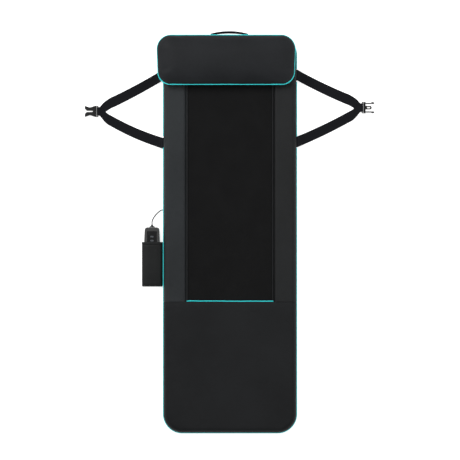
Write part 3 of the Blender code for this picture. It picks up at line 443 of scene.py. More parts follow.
@dataclass(frozen=True)
class AirMeshFinish(Finish):
    """Spacer mesh: threads round open cells, whose darkness is the mesh's own black with painted shade in the
    cells.
    """

    cells: float = 700.0
    depth: float = 0.0008

    group: ClassVar[str] = "air_mesh_cells"
    mask: ClassVar[str] = "Tone"

    def values(self) -> dict[str, float]:
        """Cell count and depth."""
        return {"Cells": self.cells, "Depth": self.depth}

    def colour_mask(self, wire: Wiring, effect: bpy.types.Node) -> bpy.types.NodeSocket:
        """Light on the threads, and in the cells the mesh's own dark with painted shade."""
        threads = wire.math("SUBTRACT", 1.0, effect.outputs["Hole"])
        slow = wire.math("MULTIPLY", effect.outputs["Tone"], 0.35)
        return wire.math("MULTIPLY", threads, wire.math("ADD", slow, 0.65))


@dataclass(frozen=True)
class MouldedFinish(Finish):
    """Moulded plastic, rubber or foam skin."""

    grain_scale: float = 2600.0
    depth: float = 0.00004

    def values(self) -> dict[str, float]:
        """Grain size and depth."""
        return {"Grain Scale": self.grain_scale, "Depth": self.depth}


# One leather in two tones: LIT_LEATHER carries painted light for the left side panel, SHADED_LEATHER carries
# painted shade for the right side panel and the head panel.
LIT_LEATHER = LeatherFinish(
    "padded_leather_nap_up", (0.0150, 0.0178, 0.0200), (0.0235, 0.0272, 0.0300), 0.50, 0.64, specular=0.28
)
SHADED_LEATHER = LeatherFinish(
    "padded_leather_nap_down", (0.0088, 0.0096, 0.0102), (0.0145, 0.0156, 0.0166), 0.52, 0.66, specular=0.24
)
# The foot panel's leather: the same leather toned darker still, with painted shade.
FOOT_SHADED_LEATHER = LeatherFinish(
    "foot_leather", (0.0070, 0.0077, 0.0088), (0.0118, 0.0128, 0.0142), 0.54, 0.68, specular=0.22
)
PILLOW_LEATHER = LeatherFinish(
    "pillow_leather", (0.0092, 0.0104, 0.0122), (0.0156, 0.0172, 0.0198), 0.58, 0.72, specular=0.22
)
WELT_LEATHER = LeatherFinish(
    "welt_leather", (0.009, 0.010, 0.011), (0.017, 0.019, 0.021), 0.50, 0.62, cell_scale=1400.0, specular=0.24
)
BASE_LEATHER = LeatherFinish(
    "base_leather", (0.008, 0.009, 0.010), (0.014, 0.015, 0.016), 0.55, 0.70, cell_scale=700.0
)
PIPING_SATIN = WovenFinish(
    "piping_satin", (0.030, 0.780, 0.810), (0.070, 0.960, 0.980), 0.50, 0.62, 0.3,
    threads=4200.0, depth=0.00006,
)
STRAP_WEBBING = WovenFinish(
    "strap_webbing", (0.0022, 0.0024, 0.0040), (0.0080, 0.0086, 0.0120), 0.75, 0.92, 0.2, 0.03, threads=2100.0
)
STITCH_THREAD = WovenFinish(
    "stitch_thread", (0.006, 0.0065, 0.0075), (0.013, 0.014, 0.0155), 0.70, 0.85, 0.2,
    threads=7000.0, depth=0.00005,
)
BACK_MESH = AirMeshFinish("back_mesh", (0.0012, 0.0012, 0.0014), (0.0120, 0.0121, 0.0126), 0.80, 0.95, 0.2)
BUCKLE_PLASTIC = MouldedFinish(
    "buckle_plastic", (0.004, 0.0042, 0.0046), (0.009, 0.0094, 0.010), 0.34, 0.48, 0.35
)
HANDSET_PLASTIC = MouldedFinish(
    "handset_plastic", (0.0115, 0.0117, 0.0122), (0.0180, 0.0183, 0.0188), 0.50, 0.62, 0.25
)
KEYPAD_FILM = MouldedFinish("keypad_film", (0.004, 0.004, 0.0045), (0.008, 0.008, 0.009), 0.22, 0.34)
KEY_RUBBER = MouldedFinish("key_rubber", (0.075, 0.082, 0.092), (0.11, 0.118, 0.130), 0.45, 0.60, 0.4)
SOFT_RUBBER = MouldedFinish("soft_rubber", (0.010, 0.010, 0.011), (0.020, 0.020, 0.021), 0.50, 0.66)
POCKET_LEATHER = LeatherFinish(
    "pocket_leather", (0.0090, 0.0098, 0.0100), (0.0150, 0.0160, 0.0166), 0.54, 0.68,
    specular=0.22, crease_scale=40.0,
)
CABLE_JACKET = MouldedFinish("cable_jacket", (0.006, 0.006, 0.0065), (0.011, 0.011, 0.012), 0.4, 0.52)
FOAM_SKIN = MouldedFinish(
    "foam_skin", (0.42, 0.41, 0.36), (0.58, 0.57, 0.50), 0.90, 0.98, 0.2, grain_scale=900.0, depth=0.0005
)
FOIL_FELT = WovenFinish("foil_felt", (0.45, 0.45, 0.46), (0.70, 0.70, 0.71), 0.25, 0.45, threads=1500.0)
CARBON_CLOTH = WovenFinish("carbon_cloth", (0.010, 0.010, 0.011), (0.035, 0.035, 0.038), 0.45, 0.7)
MOTOR_STEEL = MouldedFinish("motor_steel", (0.30, 0.30, 0.31), (0.45, 0.45, 0.46), 0.25, 0.42)
BOARD_RESIN = MouldedFinish("board_resin", (0.008, 0.085, 0.030), (0.014, 0.13, 0.048), 0.30, 0.5)


# Making meshes -----------------------------------------------------------------------------------
def arc(start: float, sweep: float, steps: int) -> list[float]:
    """Angles in radians along a turn.

    Args:
        start: First angle, in degrees.
        sweep: Turn, in degrees.
        steps: Stretches in the turn.

    Returns:
        steps + 1 angles.
    """
    return [math.radians(start + sweep * i / steps) for i in range(steps + 1)]


def span(low: float, high: float, step: float) -> list[float]:
    """Evenly spaced values from low to high, about a step apart."""
    count = max(1, round(abs(high - low) / step))
    return [low + (high - low) * i / count for i in range(count + 1)]


def wave(x: float, y: float, z: float, scale: float) -> float:
    """Smooth noise from about -1 to 1, whose lumps are about a scale wide."""
    return noise.noise(Vector((x, y, z)) / scale)


def rounded(distance: float, roll: float) -> float:
    """Share of the full height at a distance from an edge that is rounded over a roll's width."""
    if distance >= roll:
        return 1.0
    return math.sqrt(max(0.0, 1 - (1 - max(distance, 0.0) / roll) ** 2))


def as_object(name: str, bm: bmesh.types.BMesh, finish: Finish, sharp: float = 45.0) -> bpy.types.Object:
    """Turn a bmesh into a linked, smoothly shaded object.

    Args:
        name: The piece's name.
        bm: Its shape, which is freed.
        finish: Its finish.
        sharp: Edges that turn more than this many degrees stay crisp.

    Returns:
        The new object.
    """
    bmesh.ops.remove_doubles(bm, verts=bm.verts, dist=2e-6)
    bmesh.ops.recalc_face_normals(bm, faces=bm.faces)
    mesh = bpy.data.meshes.new(name)
    bm.to_mesh(mesh)
    bm.free()
    mesh.shade_smooth()
    mesh.set_sharp_from_angle(angle=math.radians(sharp))
    mesh.materials.append(finish.material())
    made = bpy.data.objects.new(name, mesh)
    bpy.context.collection.objects.link(made)
    return made


def even_shading(piece: bpy.types.Object) -> bpy.types.Object:
    """Let a piece's large flat faces set the shading of the small rounded edges beside them."""
    weighted = piece.modifiers.new("even_shading", "WEIGHTED_NORMAL")
    weighted.keep_sharp = True
    return piece


def add_grid(bm: bmesh.types.BMesh, rows: Sequence[Sequence[Point]], ring: bool = False) -> None:
    """Add a skin of four-sided faces over rows of points.

    Args:
        bm: Where the faces go.
        rows: Rows of points, each as long as the others.
        ring: Whether each row closes on itself.
    """
    made = [[bm.verts.new(p) for p in row] for row in rows]
    for low, high in zip(made, made[1:]):
        count = len(low)
        for i in range(count if ring else count - 1):
            j = (i + 1) % count
            bm.faces.new((low[i], low[j], high[j], high[i]))


def add_solid(bm: bmesh.types.BMesh, rings: Sequence[Sequence[Point]]) -> None:
    """Add a closed form through rings of points, capped at both ends."""
    add_grid(bm, rings, ring=True)
    bm.verts.ensure_lookup_table()
    count = len(rings[0])
    total = count * len(rings)
    verts = bm.verts[len(bm.verts) - total :]
    bm.faces.new(list(reversed(verts[:count])))
    bm.faces.new(verts[-count:])


def frames_along(points: Sequence[Point]) -> list[tuple[Vector, Vector, Vector]]:
    """A place and two square directions at each point of a line, carried along without twist.

    Args:
        points: The line.

    Returns:
        (place, first direction, second direction) for each point.
    """
    spots = [Vector(p) for p in points]
    made: list[tuple[Vector, Vector, Vector]] = []
    side = Vector((0.0, 0.0, 1.0))
    for i, spot in enumerate(spots):
        ahead = (spots[min(i + 1, len(spots) - 1)] - spots[max(i - 1, 0)]).normalized()
        side = side - ahead * side.dot(ahead)
        if side.length < 1e-4:
            side = ahead.orthogonal()
        side.normalize()
        made.append((spot, side.copy(), ahead.cross(side)))
    return made


def turns_round(sides: int) -> list[float]:
    """The angles of a ring's points, in radians."""
    return [2 * math.pi * k / sides for k in range(sides)]


def ring_round(place: Vector, first: Vector, second: Vector, radius: float, sides: int) -> list[Point]:
    """Points on a circle about a place.

    Args:
        place: Its middle.
        first: One direction in its plane.
        second: The other, square to the first.
        radius: Its radius.
        sides: How many points.

    Returns:
        The points, in order round it.
    """
    return [tuple(place + (first * math.cos(a) + second * math.sin(a)) * radius) for a in turns_round(sides)]


def add_cup(bm: bmesh.types.BMesh, rings: Sequence[Sequence[Point]]) -> None:
    """Add a skin over rings of points, closed over by one face at the last ring."""
    add_grid(bm, rings, ring=True)
    bm.verts.ensure_lookup_table()
    bm.faces.new(bm.verts[-len(rings[-1]) :])


def add_tube(
    bm: bmesh.types.BMesh, points: Sequence[Point], radius: float, sides: int = 10, lumpy: float = 0.0
) -> None:
    """Add a round cord with closed ends along a line.

    Args:
        bm: Where the faces go.
        points: The line.
        radius: The cord's radius.
        sides: Flats round the cord.
        lumpy: How far the radius wanders, as a share of it.
    """
    rings = []
    for place, first, second in frames_along(points):
        size = radius * (1 + lumpy * wave(place.x, place.y, place.z, 0.012))
        rings.append(ring_round(place, first, second, size, sides))
    add_solid(bm, rings)


def ring_tube(bm: bmesh.types.BMesh, points: Sequence[Point], radius: float, sides: int = 10) -> None:
    """Add a round cord round a closed line."""
    loop = list(points) + [points[0], points[1]]
    rings = []
    for i, (place, first, second) in enumerate(frames_along([points[-1]] + loop)):
        if 0 < i <= len(points) + 1:
            rings.append(ring_round(place, first, second, radius, sides))
    rings[-1] = rings[0]
    add_grid(bm, rings, ring=True)


def add_stitches(
    bm: bmesh.types.BMesh, line: Sequence[Point], pitch: float = 0.0065, length: float = 0.0042
) -> None:
    """Add a row of thread stitches, each a small bowed capsule that lies along a line.

    Args:
        bm: Where the faces go.
        line: Points on the surface, closer together than a stitch.
        pitch: From one stitch to the next.
        length: A stitch's length.
    """
    spots = [Vector(p) for p in line]
    run, due = 0.0, pitch / 2
    for low, high in zip(spots, spots[1:]):
        stretch = (high - low).length
        if stretch < 1e-9:
            continue
        while due <= run + stretch:
            centre = low.lerp(high, (due - run) / stretch)
            add_stitch(bm, centre, (high - low).normalized(), length)
            due += pitch
        run += stretch


def add_stitch(bm: bmesh.types.BMesh, centre: Vector, ahead: Vector, length: float) -> None:
    """Add one stitch: four-sided, thin at its ends and bowed up in its middle."""
    up = Vector((0.0, 0.0, 1.0))
    across = ahead.cross(up)
    across = across.normalized() if across.length > 0.1 else Vector((1.0, 0.0, 0.0))
    lift = across.cross(ahead).normalized()
    lift = lift if lift.z >= 0 else -lift
    rings = []
    for share, size in ((-0.5, 0.0001), (-0.3, 0.00034), (0.0, 0.00040), (0.3, 0.00034), (0.5, 0.0001)):
        middle = centre + ahead * (length * share) + lift * (0.0004 * (1 - abs(2 * share)) ** 0.5)
        rings.append(ring_round(middle, across, lift, size, 4))
    add_solid(bm, rings)


def smooth_route(points: Sequence[Point], step: float) -> list[Point]:
    """Points along a smooth curve through a route's own points.

    Args:
        points: The route.
        step: About how far apart the new points are.

    Returns:
        The curve's points, from the route's first to its last.
    """
    first = tuple(2 * a - b for a, b in zip(points[0], points[1]))
    last = tuple(2 * a - b for a, b in zip(points[-1], points[-2]))
    ends = [first, *points, last]
    made: list[Point] = []
    for p0, p1, p2, p3 in zip(ends, ends[1:], ends[2:], ends[3:]):
        count = max(1, round(math.dist(p1, p2) / step))
        for i in range(count):
            t = i / count
            made.append(tuple(catmull(a, b, c, d, t) for a, b, c, d in zip(p0, p1, p2, p3)))
    return made + [tuple(points[-1])]


def catmull(a: float, b: float, c: float, d: float, t: float) -> float:
    """One value on the curve from b to c, with a before and d after."""
    return 0.5 * (2 * b + (c - a) * t + (2 * a - 5 * b + 4 * c - d) * t**2 + (3 * b - a - 3 * c + d) * t**3)


def settle(
    piece: bpy.types.Object, body: Body, nodes: Iterable[str] = ()
) -> bpy.types.Object:
    """Make a piece ride on its body and stand for its frame nodes.

    Args:
        piece: The finished piece.
        body: The body that it moves with.
        nodes: The frame nodes that it replaces.

    Returns:
        The same piece.
    """
    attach(piece, body.value)
    names = list(nodes)
    if names:
        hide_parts(*names)
    LOG.info("%s: %d faces on %s", piece.name, len(piece.data.polygons), body.value)
    return piece


def dress(nodes: dict[str, bpy.types.Object], names: Iterable[str], finish: Finish) -> None:
    """Give frame nodes that keep their shape a finish."""
    for name in names:
        slots = nodes[name].data.materials
        slots.clear()
        slots.append(finish.material())


# The mat -----------------------------------------------------------------------------------------
@dataclass
class MatSizes:
    """The frame's main places, read from its nodes."""

    edge_x: float
    head_y: float
    foot_y: float
    fold_y: float
    leg_end_y: float
    seam_z: float
    piping: float
    top_z: float
    base_rim_z: float
    mesh_x: float
    mesh_z: float
    head_seam_y: float
    corner: float = 0.083
    seam_inset: float = 0.003
    edge_roll: float = 0.022
    base_roll: float = 0.010

    @classmethod
    def from_frame(cls) -> "MatSizes":
        """Read the sizes from the loaded frame."""
        edge_low, edge_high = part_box("back_edge_piping")
        foot_low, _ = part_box("leg_edge_piping")
        base_low, base_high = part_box("back_base_cover")
        _, leg_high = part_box("leg_base_cover")
        side_low, side_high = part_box("right_side_panel")
        _, mesh_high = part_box("mesh_panel")
        return cls(
            edge_x=edge_high.x,
            head_y=edge_high.y,
            foot_y=foot_low.y,
            fold_y=base_low.y,
            leg_end_y=leg_high.y,
            seam_z=(edge_low.z + edge_high.z) / 2,
            piping=(edge_high.z - edge_low.z) / 2,
            top_z=side_high.z,
            base_rim_z=base_high.z,
            mesh_x=side_low.x,
            mesh_z=mesh_high.z,
            head_seam_y=side_high.y,
        )

    def half_width(self, y: float, inset: float = 0.0) -> float:
        """Half the mat's width at a Y, where its corners are round."""
        reach = min(y - (self.foot_y + inset), (self.head_y - inset) - y)
        radius = self.corner - inset
        half = self.edge_x - inset
        if reach >= radius:
            return half
        return half - radius + math.sqrt(max(0.0, radius**2 - (radius - max(reach, 0.0)) ** 2))

    def edge_distance(self, x: float, y: float, inset: float = 0.0) -> float:
        """How far inside the outline, shrunk by an inset, a place is."""
        half_x = self.edge_x - inset
        half_y = (self.head_y - self.foot_y) / 2 - inset
        middle_y = (self.head_y + self.foot_y) / 2
        radius = self.corner - inset
        over_x = abs(x) - (half_x - radius)
        over_y = abs(y - middle_y) - (half_y - radius)
        outside = math.hypot(max(over_x, 0.0), max(over_y, 0.0))
        return radius - outside - min(max(over_x, over_y), 0.0)

    def edge_shares(self) -> list[float]:
        """Shares of the half width, closer together at the rounded edges."""
        edge = [1 - d / self.edge_x for d in ROLL_STEPS]
        middle = span(-edge[-1], edge[-1], 0.0085 / self.edge_x)[1:-1]
        return [-t for t in edge] + middle + edge[::-1]

    def edge_line(self, inset: float, start_y: float, far_y: float, step: float = 0.006) -> list[Plan]:
        """Points from the fold round one end of the mat and back, a step apart."""
        way = 1 if far_y > start_y else -1
        half, radius = self.edge_x - inset, self.corner - inset
        turn_y = far_y - way * self.corner
        right = [(half, y) for y in span(start_y, turn_y, step)]
        turns = arc(0.0, 90.0, max(6, round(self.corner * 1.57 / step)))[1:]
        right += [(half - radius + radius * math.cos(a), turn_y + way * radius * math.sin(a)) for a in turns]
        across = [(x, far_y - way * inset) for x in span(half - radius, 0.0, step)[1:]]
        half_line = right + across
        return half_line + [(-x, y) for x, y in reversed(half_line[:-1])]


def pucker(along: float, distance: float, pitch: float, reach: float, seed: float) -> float:
    """The dip of cloth gathered at a seam: small folds that die out away from it, from -1 to 0.

    Args:
        along: Place along the seam.
        distance: Distance from the seam.
        pitch: About how far apart the folds are.
        reach: How far they run.
        seed: Sets this seam's own folds.

    Returns:
        The dip, as a share of its depth.
    """
    fade = math.exp(-distance / reach) * min(1.0, distance / (0.25 * reach))
    fold = 0.5 + 0.5 * math.sin(2 * math.pi * along / pitch + 5.0 * wave(along, seed, 0.0, 0.09))
    strength = 0.45 + 0.55 * wave(along, seed + 3.1, 0.7, 0.13)
    return -fade * fold * max(0.0, strength)


@dataclass
class PaddedTop:
    """How a padded cover's top rises and falls."""

    sizes: MatSizes
    sag: float = 0.0011
    fold_depth: float = 0.0016
    fold_pitch: float = 0.034
    fold_reach: float = 0.030
    inner_roll: float = 0.0105
    inner_drop: float = 0.0045
    inner_pitch: float = 0.041
    inner_reach: float = 0.022
    groove: float = 0.0034

    def height(self, x: float, y: float, inner: bool) -> float:
        """The cover's height over the floor at a place.

        Args:
            x: Place across the mat.
            y: Place along the mat.
            inner: Whether the cover also rolls down beside the mesh.

        Returns:
            Z, in metres.
        """
        s = self.sizes
        rim = s.seam_z + s.piping * 0.6
        edge = s.edge_distance(x, y, s.seam_inset)
        z = rim + (s.top_z - rim) * rounded(edge, s.edge_roll)
        dip = self.sag * (0.5 + 0.5 * wave(x, y, 1.3, 0.16)) + 0.0004 * (0.5 + 0.5 * wave(x, y, 4.1, 0.05))
        dip -= self.fold_depth * pucker(y + 0.4 * abs(x), edge, self.fold_pitch, self.fold_reach, x)
        if inner:
            beside = abs(x) - s.mesh_x - self.groove
            foot = s.mesh_z - self.inner_drop
            z = min(z, foot + (s.top_z - foot) * rounded(beside, self.inner_roll))
            folds = pucker(y, beside, self.inner_pitch, self.inner_reach, x + 9.0)
            dip -= 0.6 * self.fold_depth * folds
        return z - dip * rounded(edge, s.edge_roll)


@dataclass
class BackSection:
    """The long section under a person's back: covers, mesh, piping, welt and stitching."""

    sizes: MatSizes
    strap_gaps: tuple[tuple[float, float], ...]
    top: PaddedTop = field(init=False)

    def __post_init__(self) -> None:
        """Shape the padded top from the mat's sizes."""
        self.top = PaddedTop(self.sizes)

    def build(self) -> None:
        """Build and dress every visible piece of the back section."""
        # Left panel in the leather with painted light, right panel in the leather with painted shade.
        self.side_panel(Side.LEFT, LIT_LEATHER)
        self.side_panel(Side.RIGHT, SHADED_LEATHER)
        self.head_panel()
        self.mesh()
        self.welt()
        self.cross_piping()
        self.edge_piping()
        self.stitching()
        self.base()

    def side_panel(self, side: Side, finish: LeatherFinish) -> None:
        """The padded strip beside the mesh, with an upright end at the fold.

        Args:
            side: Which side it is on.
            finish: Its leather: the lighter copy, with painted light, on the left; the darker copy, with
                painted shade, on the right.
        """
        name = f"{side.name.lower()}_padded_panel"
        s = self.sizes
        inner = [s.mesh_x + d for d in GROOVE_STEPS]
        outer = [s.edge_x - s.seam_inset - d for d in reversed(ROLL_STEPS)]
        columns = inner + span(inner[-1], outer[0], 0.006)[1:-1] + outer
        rows = []
        for y in span(s.fold_y, s.head_seam_y, 0.0065):
            rows.append([(side.value * x, y, self.top.height(x * side.value, y, True)) for x in columns])
        skirt = [(x, y, s.base_rim_z) for x, y, _ in rows[0]]
        bm = bmesh.new()
        add_grid(bm, [skirt] + rows)
        piece = as_object(name, bm, finish)
        settle(piece, Body.BACK, [f"{side.name.lower()}_side_panel"])

    def head_panel(self) -> None:
        """The padded end under the pillow, round at its corners."""
        s = self.sizes
        end = s.head_y - s.seam_inset
        ys = span(s.head_seam_y, end - ROLL_STEPS[-1], 0.0075)[:-1] + [end - d for d in reversed(ROLL_STEPS)]
        shares = s.edge_shares()
        rows = []
        for y in ys:
            half = s.half_width(y, s.seam_inset)
            rows.append([(half * t, y, self.top.height(half * t, y, False)) for t in shares])
        bm = bmesh.new()
        add_grid(bm, rows)
        # The head panel wears the darker copy of the leather, with painted shade.
        piece = as_object("head_padded_panel", bm, SHADED_LEATHER)
        settle(piece, Body.BACK, ["head_panel"])

    def mesh(self) -> None:
        """The air mesh, drawn down a little along its edges and quilted by the heat panel under it."""
        s = self.sizes
        half = s.mesh_x
        rows = []
        for y in span(s.fold_y, s.head_seam_y, 0.011):
            row = []
            for x in span(-half, half, 0.0105):
                beside = min(half - abs(x), y - s.fold_y + 0.004)
                dip = 0.0012 * math.exp(-beside / 0.012) + 0.0007 * (0.5 + 0.5 * wave(x, y, 7.0, 0.09))
                row.append((x, y, s.mesh_z + 0.0006 - dip))
            rows.append(row)
        skirt = [(x, y, s.base_rim_z) for x, y, _ in rows[0]]
        bm = bmesh.new()
        add_grid(bm, [skirt] + rows)
        piece = as_object("back_air_mesh", bm, BACK_MESH)
        settle(piece, Body.BACK, ["mesh_panel", "back_fold_gusset"])

    def welt(self) -> None:
        """The leather-covered cord that trims the mesh on three sides."""
        low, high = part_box("mesh_welt")
        radius = (high.z - low.z) / 2
        x, z = high.x - radius, (low.z + high.z) / 2
        corner = 0.008
        top_y = high.y - radius
        right = [(x, y) for y in span(low.y, top_y - corner, 0.007)]
        bend = arc(0, 90, 5)[1:]
        right += [(x - corner + corner * math.cos(a), top_y - corner + corner * math.sin(a)) for a in bend]
        line = right + [(a, top_y) for a in span(x - corner, 0.0, 0.01)[1:]]
        loop = line + [(-a, b) for a, b in reversed(line[:-1])]
        bm = bmesh.new()
        add_tube(bm, [(a, b, z + 0.00025 * wave(a, b, 0.0, 0.05)) for a, b in loop], radius, lumpy=0.05)
        settle(as_object("mesh_welt_cord", bm, WELT_LEATHER), Body.BACK, ["mesh_welt"])

    def cross_piping(self) -> None:
        """The satin piping across the foot end of the mesh, slightly wavy as it is sewn."""
        low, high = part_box("cross_piping")
        radius = (high.z - low.z) / 2
        y, z = (low.y + high.y) / 2, (low.z + high.z) / 2
        line = [(x, y + 0.0012 * wave(x, 0.3, 0.0, 0.045), z - 0.0003) for x in span(low.x, high.x, 0.006)]
        bm = bmesh.new()
        add_tube(bm, line, radius * 0.97, lumpy=0.06)
        settle(as_object("cross_piping_cord", bm, PIPING_SATIN), Body.BACK, ["cross_piping"])

    def edge_piping(self) -> None:
        """The satin piping in the edge seam, which breaks where the straps come out."""
        s = self.sizes
        line = s.edge_line(s.piping, s.fold_y, s.head_y)
        bm = bmesh.new()
        run: list[Point] = []
        for x, y in line:
            if any(low < y < high for low, high in self.strap_gaps) and abs(x) > s.edge_x - 0.01:
                if len(run) > 2:
                    add_tube(bm, run, s.piping, lumpy=0.05)
                run = []
                continue
            run.append(seam_place(s, x, y))
        add_tube(bm, run, s.piping, lumpy=0.05)
        settle(as_object("back_piping_cord", bm, PIPING_SATIN), Body.BACK, ["back_edge_piping"])

    def stitching(self) -> None:
        """Rows of thread beside the mesh, along both edges and round the head end."""
        s = self.sizes
        bm = bmesh.new()
        for side in (-1, 1):
            for x in (s.mesh_x + 0.0105, s.edge_x - s.seam_inset - STITCH_INSET):
                ys = span(s.fold_y + 0.004, s.head_seam_y - 0.004, 0.003)
                rows = [(side * x, y, self.top.height(side * x, y, True) + STITCH_LIFT) for y in ys]
                add_stitches(bm, rows)
        line = s.edge_line(s.seam_inset + STITCH_INSET, s.head_seam_y + 0.004, s.head_y, 0.003)
        add_stitches(bm, [(x, y, self.top.height(x, y, False) + STITCH_LIFT) for x, y in line])
        settle(as_object("back_stitching", bm, STITCH_THREAD), Body.BACK, ())

    def base(self) -> None:
        """The underside cover, turned up to the edge seam."""
        s = self.sizes
        build_base(s, "back_underside", s.fold_y, s.head_y, Body.BACK, "back_base_cover")


def seam_place(s: MatSizes, x: float, y: float) -> Point:
    """A place on the edge piping's line, which rises and falls a little as it is sewn."""
    return (x, y, s.seam_z + 0.0006 * wave(x, y, 2.0, 0.11))


def build_base(s: MatSizes, name: str, start_y: float, far_y: float, body: Body, node: str) -> None:
    """A faux-leather underside with its rolled edge, gathered a little into the seam.

    Args:
        s: The mat's sizes.
        name: The piece's name.
        start_y: The fold end.
        far_y: The head or foot end.
        body: The body that it rides on.
        node: The frame node that it replaces.
    """
    roll = s.base_roll
    centre = s.seam_inset + roll
    profile = [(s.seam_inset + 0.0014, s.seam_z - s.piping * 0.7), (s.seam_inset, s.base_rim_z - 0.002)]
    profile += [(s.seam_inset, 0.0145)]
    profile += [(centre - roll * math.cos(a), roll - roll * math.sin(a)) for a in arc(0, 90, 6)]
    profile += [(0.020, 0.0), (0.034, 0.0)]
    rings = []
    for inset, z in profile:
        line = s.edge_line(inset, start_y, far_y, 0.012)
        row = []
        for x, y in line:
            rise = 0.0007 * (1 + wave(x, y, 3.0, 0.06)) * (1.0 if 0.0 < z < s.base_rim_z - 0.004 else 0.0)
            row.append((x * (1 - rise / s.edge_x), y, z))
        rings.append(row)
    bm = bmesh.new()
    add_grid(bm, rings)
    inner = list(bm.verts)[-len(rings[-1]) :]
    bm.faces.new(inner)
    ends = [[ring[0] for ring in rings], [ring[-1] for ring in rings]]
    add_grid(bm, [ends[0], ends[1]])
    piece = as_object(name, bm, BASE_LEATHER)
    settle(piece, body, [node])


@dataclass
class LegSection:
    """The leg and foot section, which folds up over the back section."""

    sizes: MatSizes
    top: PaddedTop = field(init=False)

    def __post_init__(self) -> None:
        """Shape the padded top from the mat's sizes."""
        self.top = PaddedTop(self.sizes, sag=0.0015, fold_depth=0.0019, fold_pitch=0.039)

    def build(self) -> None:
        """Build and dress every visible piece of the leg section."""
        s = self.sizes
        self.foot_panel()
        bm = bmesh.new()
        line = s.edge_line(s.piping, s.leg_end_y, s.foot_y)
        add_tube(bm, [seam_place(s, x, y) for x, y in line], s.piping, lumpy=0.05)
        settle(as_object("leg_piping_cord", bm, PIPING_SATIN), Body.LEG, ["leg_edge_piping"])
        bm = bmesh.new()
        line = s.edge_line(s.seam_inset + STITCH_INSET, s.leg_end_y - 0.004, s.foot_y, 0.003)
        add_stitches(bm, [(x, y, self.top.height(x, y, False) + STITCH_LIFT) for x, y in line])
        across = [(x, s.leg_end_y - 0.008) for x in span(-s.edge_x + 0.022, s.edge_x - 0.022, 0.003)]
        add_stitches(bm, [(x, y, self.top_height(x, y) + STITCH_LIFT) for x, y in across])
        settle(as_object("leg_stitching", bm, STITCH_THREAD), Body.LEG, ())
        build_base(s, "leg_underside", s.leg_end_y, s.foot_y, Body.LEG, "leg_base_cover")

    def top_height(self, x: float, y: float) -> float:
        """The foot panel's height, eased down where it is sewn at the fold."""
        z = self.top.height(x, y, False)
        beside = self.sizes.leg_end_y - y
        return z - 0.0028 * math.exp(-beside / 0.006) + 0.0014 * pucker(x, beside, 0.047, 0.028, 2.0)

    def foot_panel(self) -> None:
        """The plain padded cover of the leg section, with an upright end at the fold."""
        s = self.sizes
        start = s.foot_y + s.seam_inset
        ys = [start + d for d in ROLL_STEPS] + span(start + ROLL_STEPS[-1], s.leg_end_y - 0.016, 0.0075)[1:]
        ys += [s.leg_end_y - d for d in (0.011, 0.007, 0.004, 0.002, 0.0008, 0.0)]
        shares = s.edge_shares()
        rows = []
        for y in ys:
            half = s.half_width(y, s.seam_inset)
            rows.append([(half * t, y, self.top_height(half * t, y)) for t in shares])
        skirt = [(x, y, s.base_rim_z) for x, y, _ in rows[-1]]
        bm = bmesh.new()
        add_grid(bm, rows + [skirt])
        # The darker copy of the leather, with painted shade.
        piece = as_object("foot_padded_panel", bm, FOOT_SHADED_LEATHER)
        settle(piece, Body.LEG, ["foot_panel", "leg_fold_gusset"])


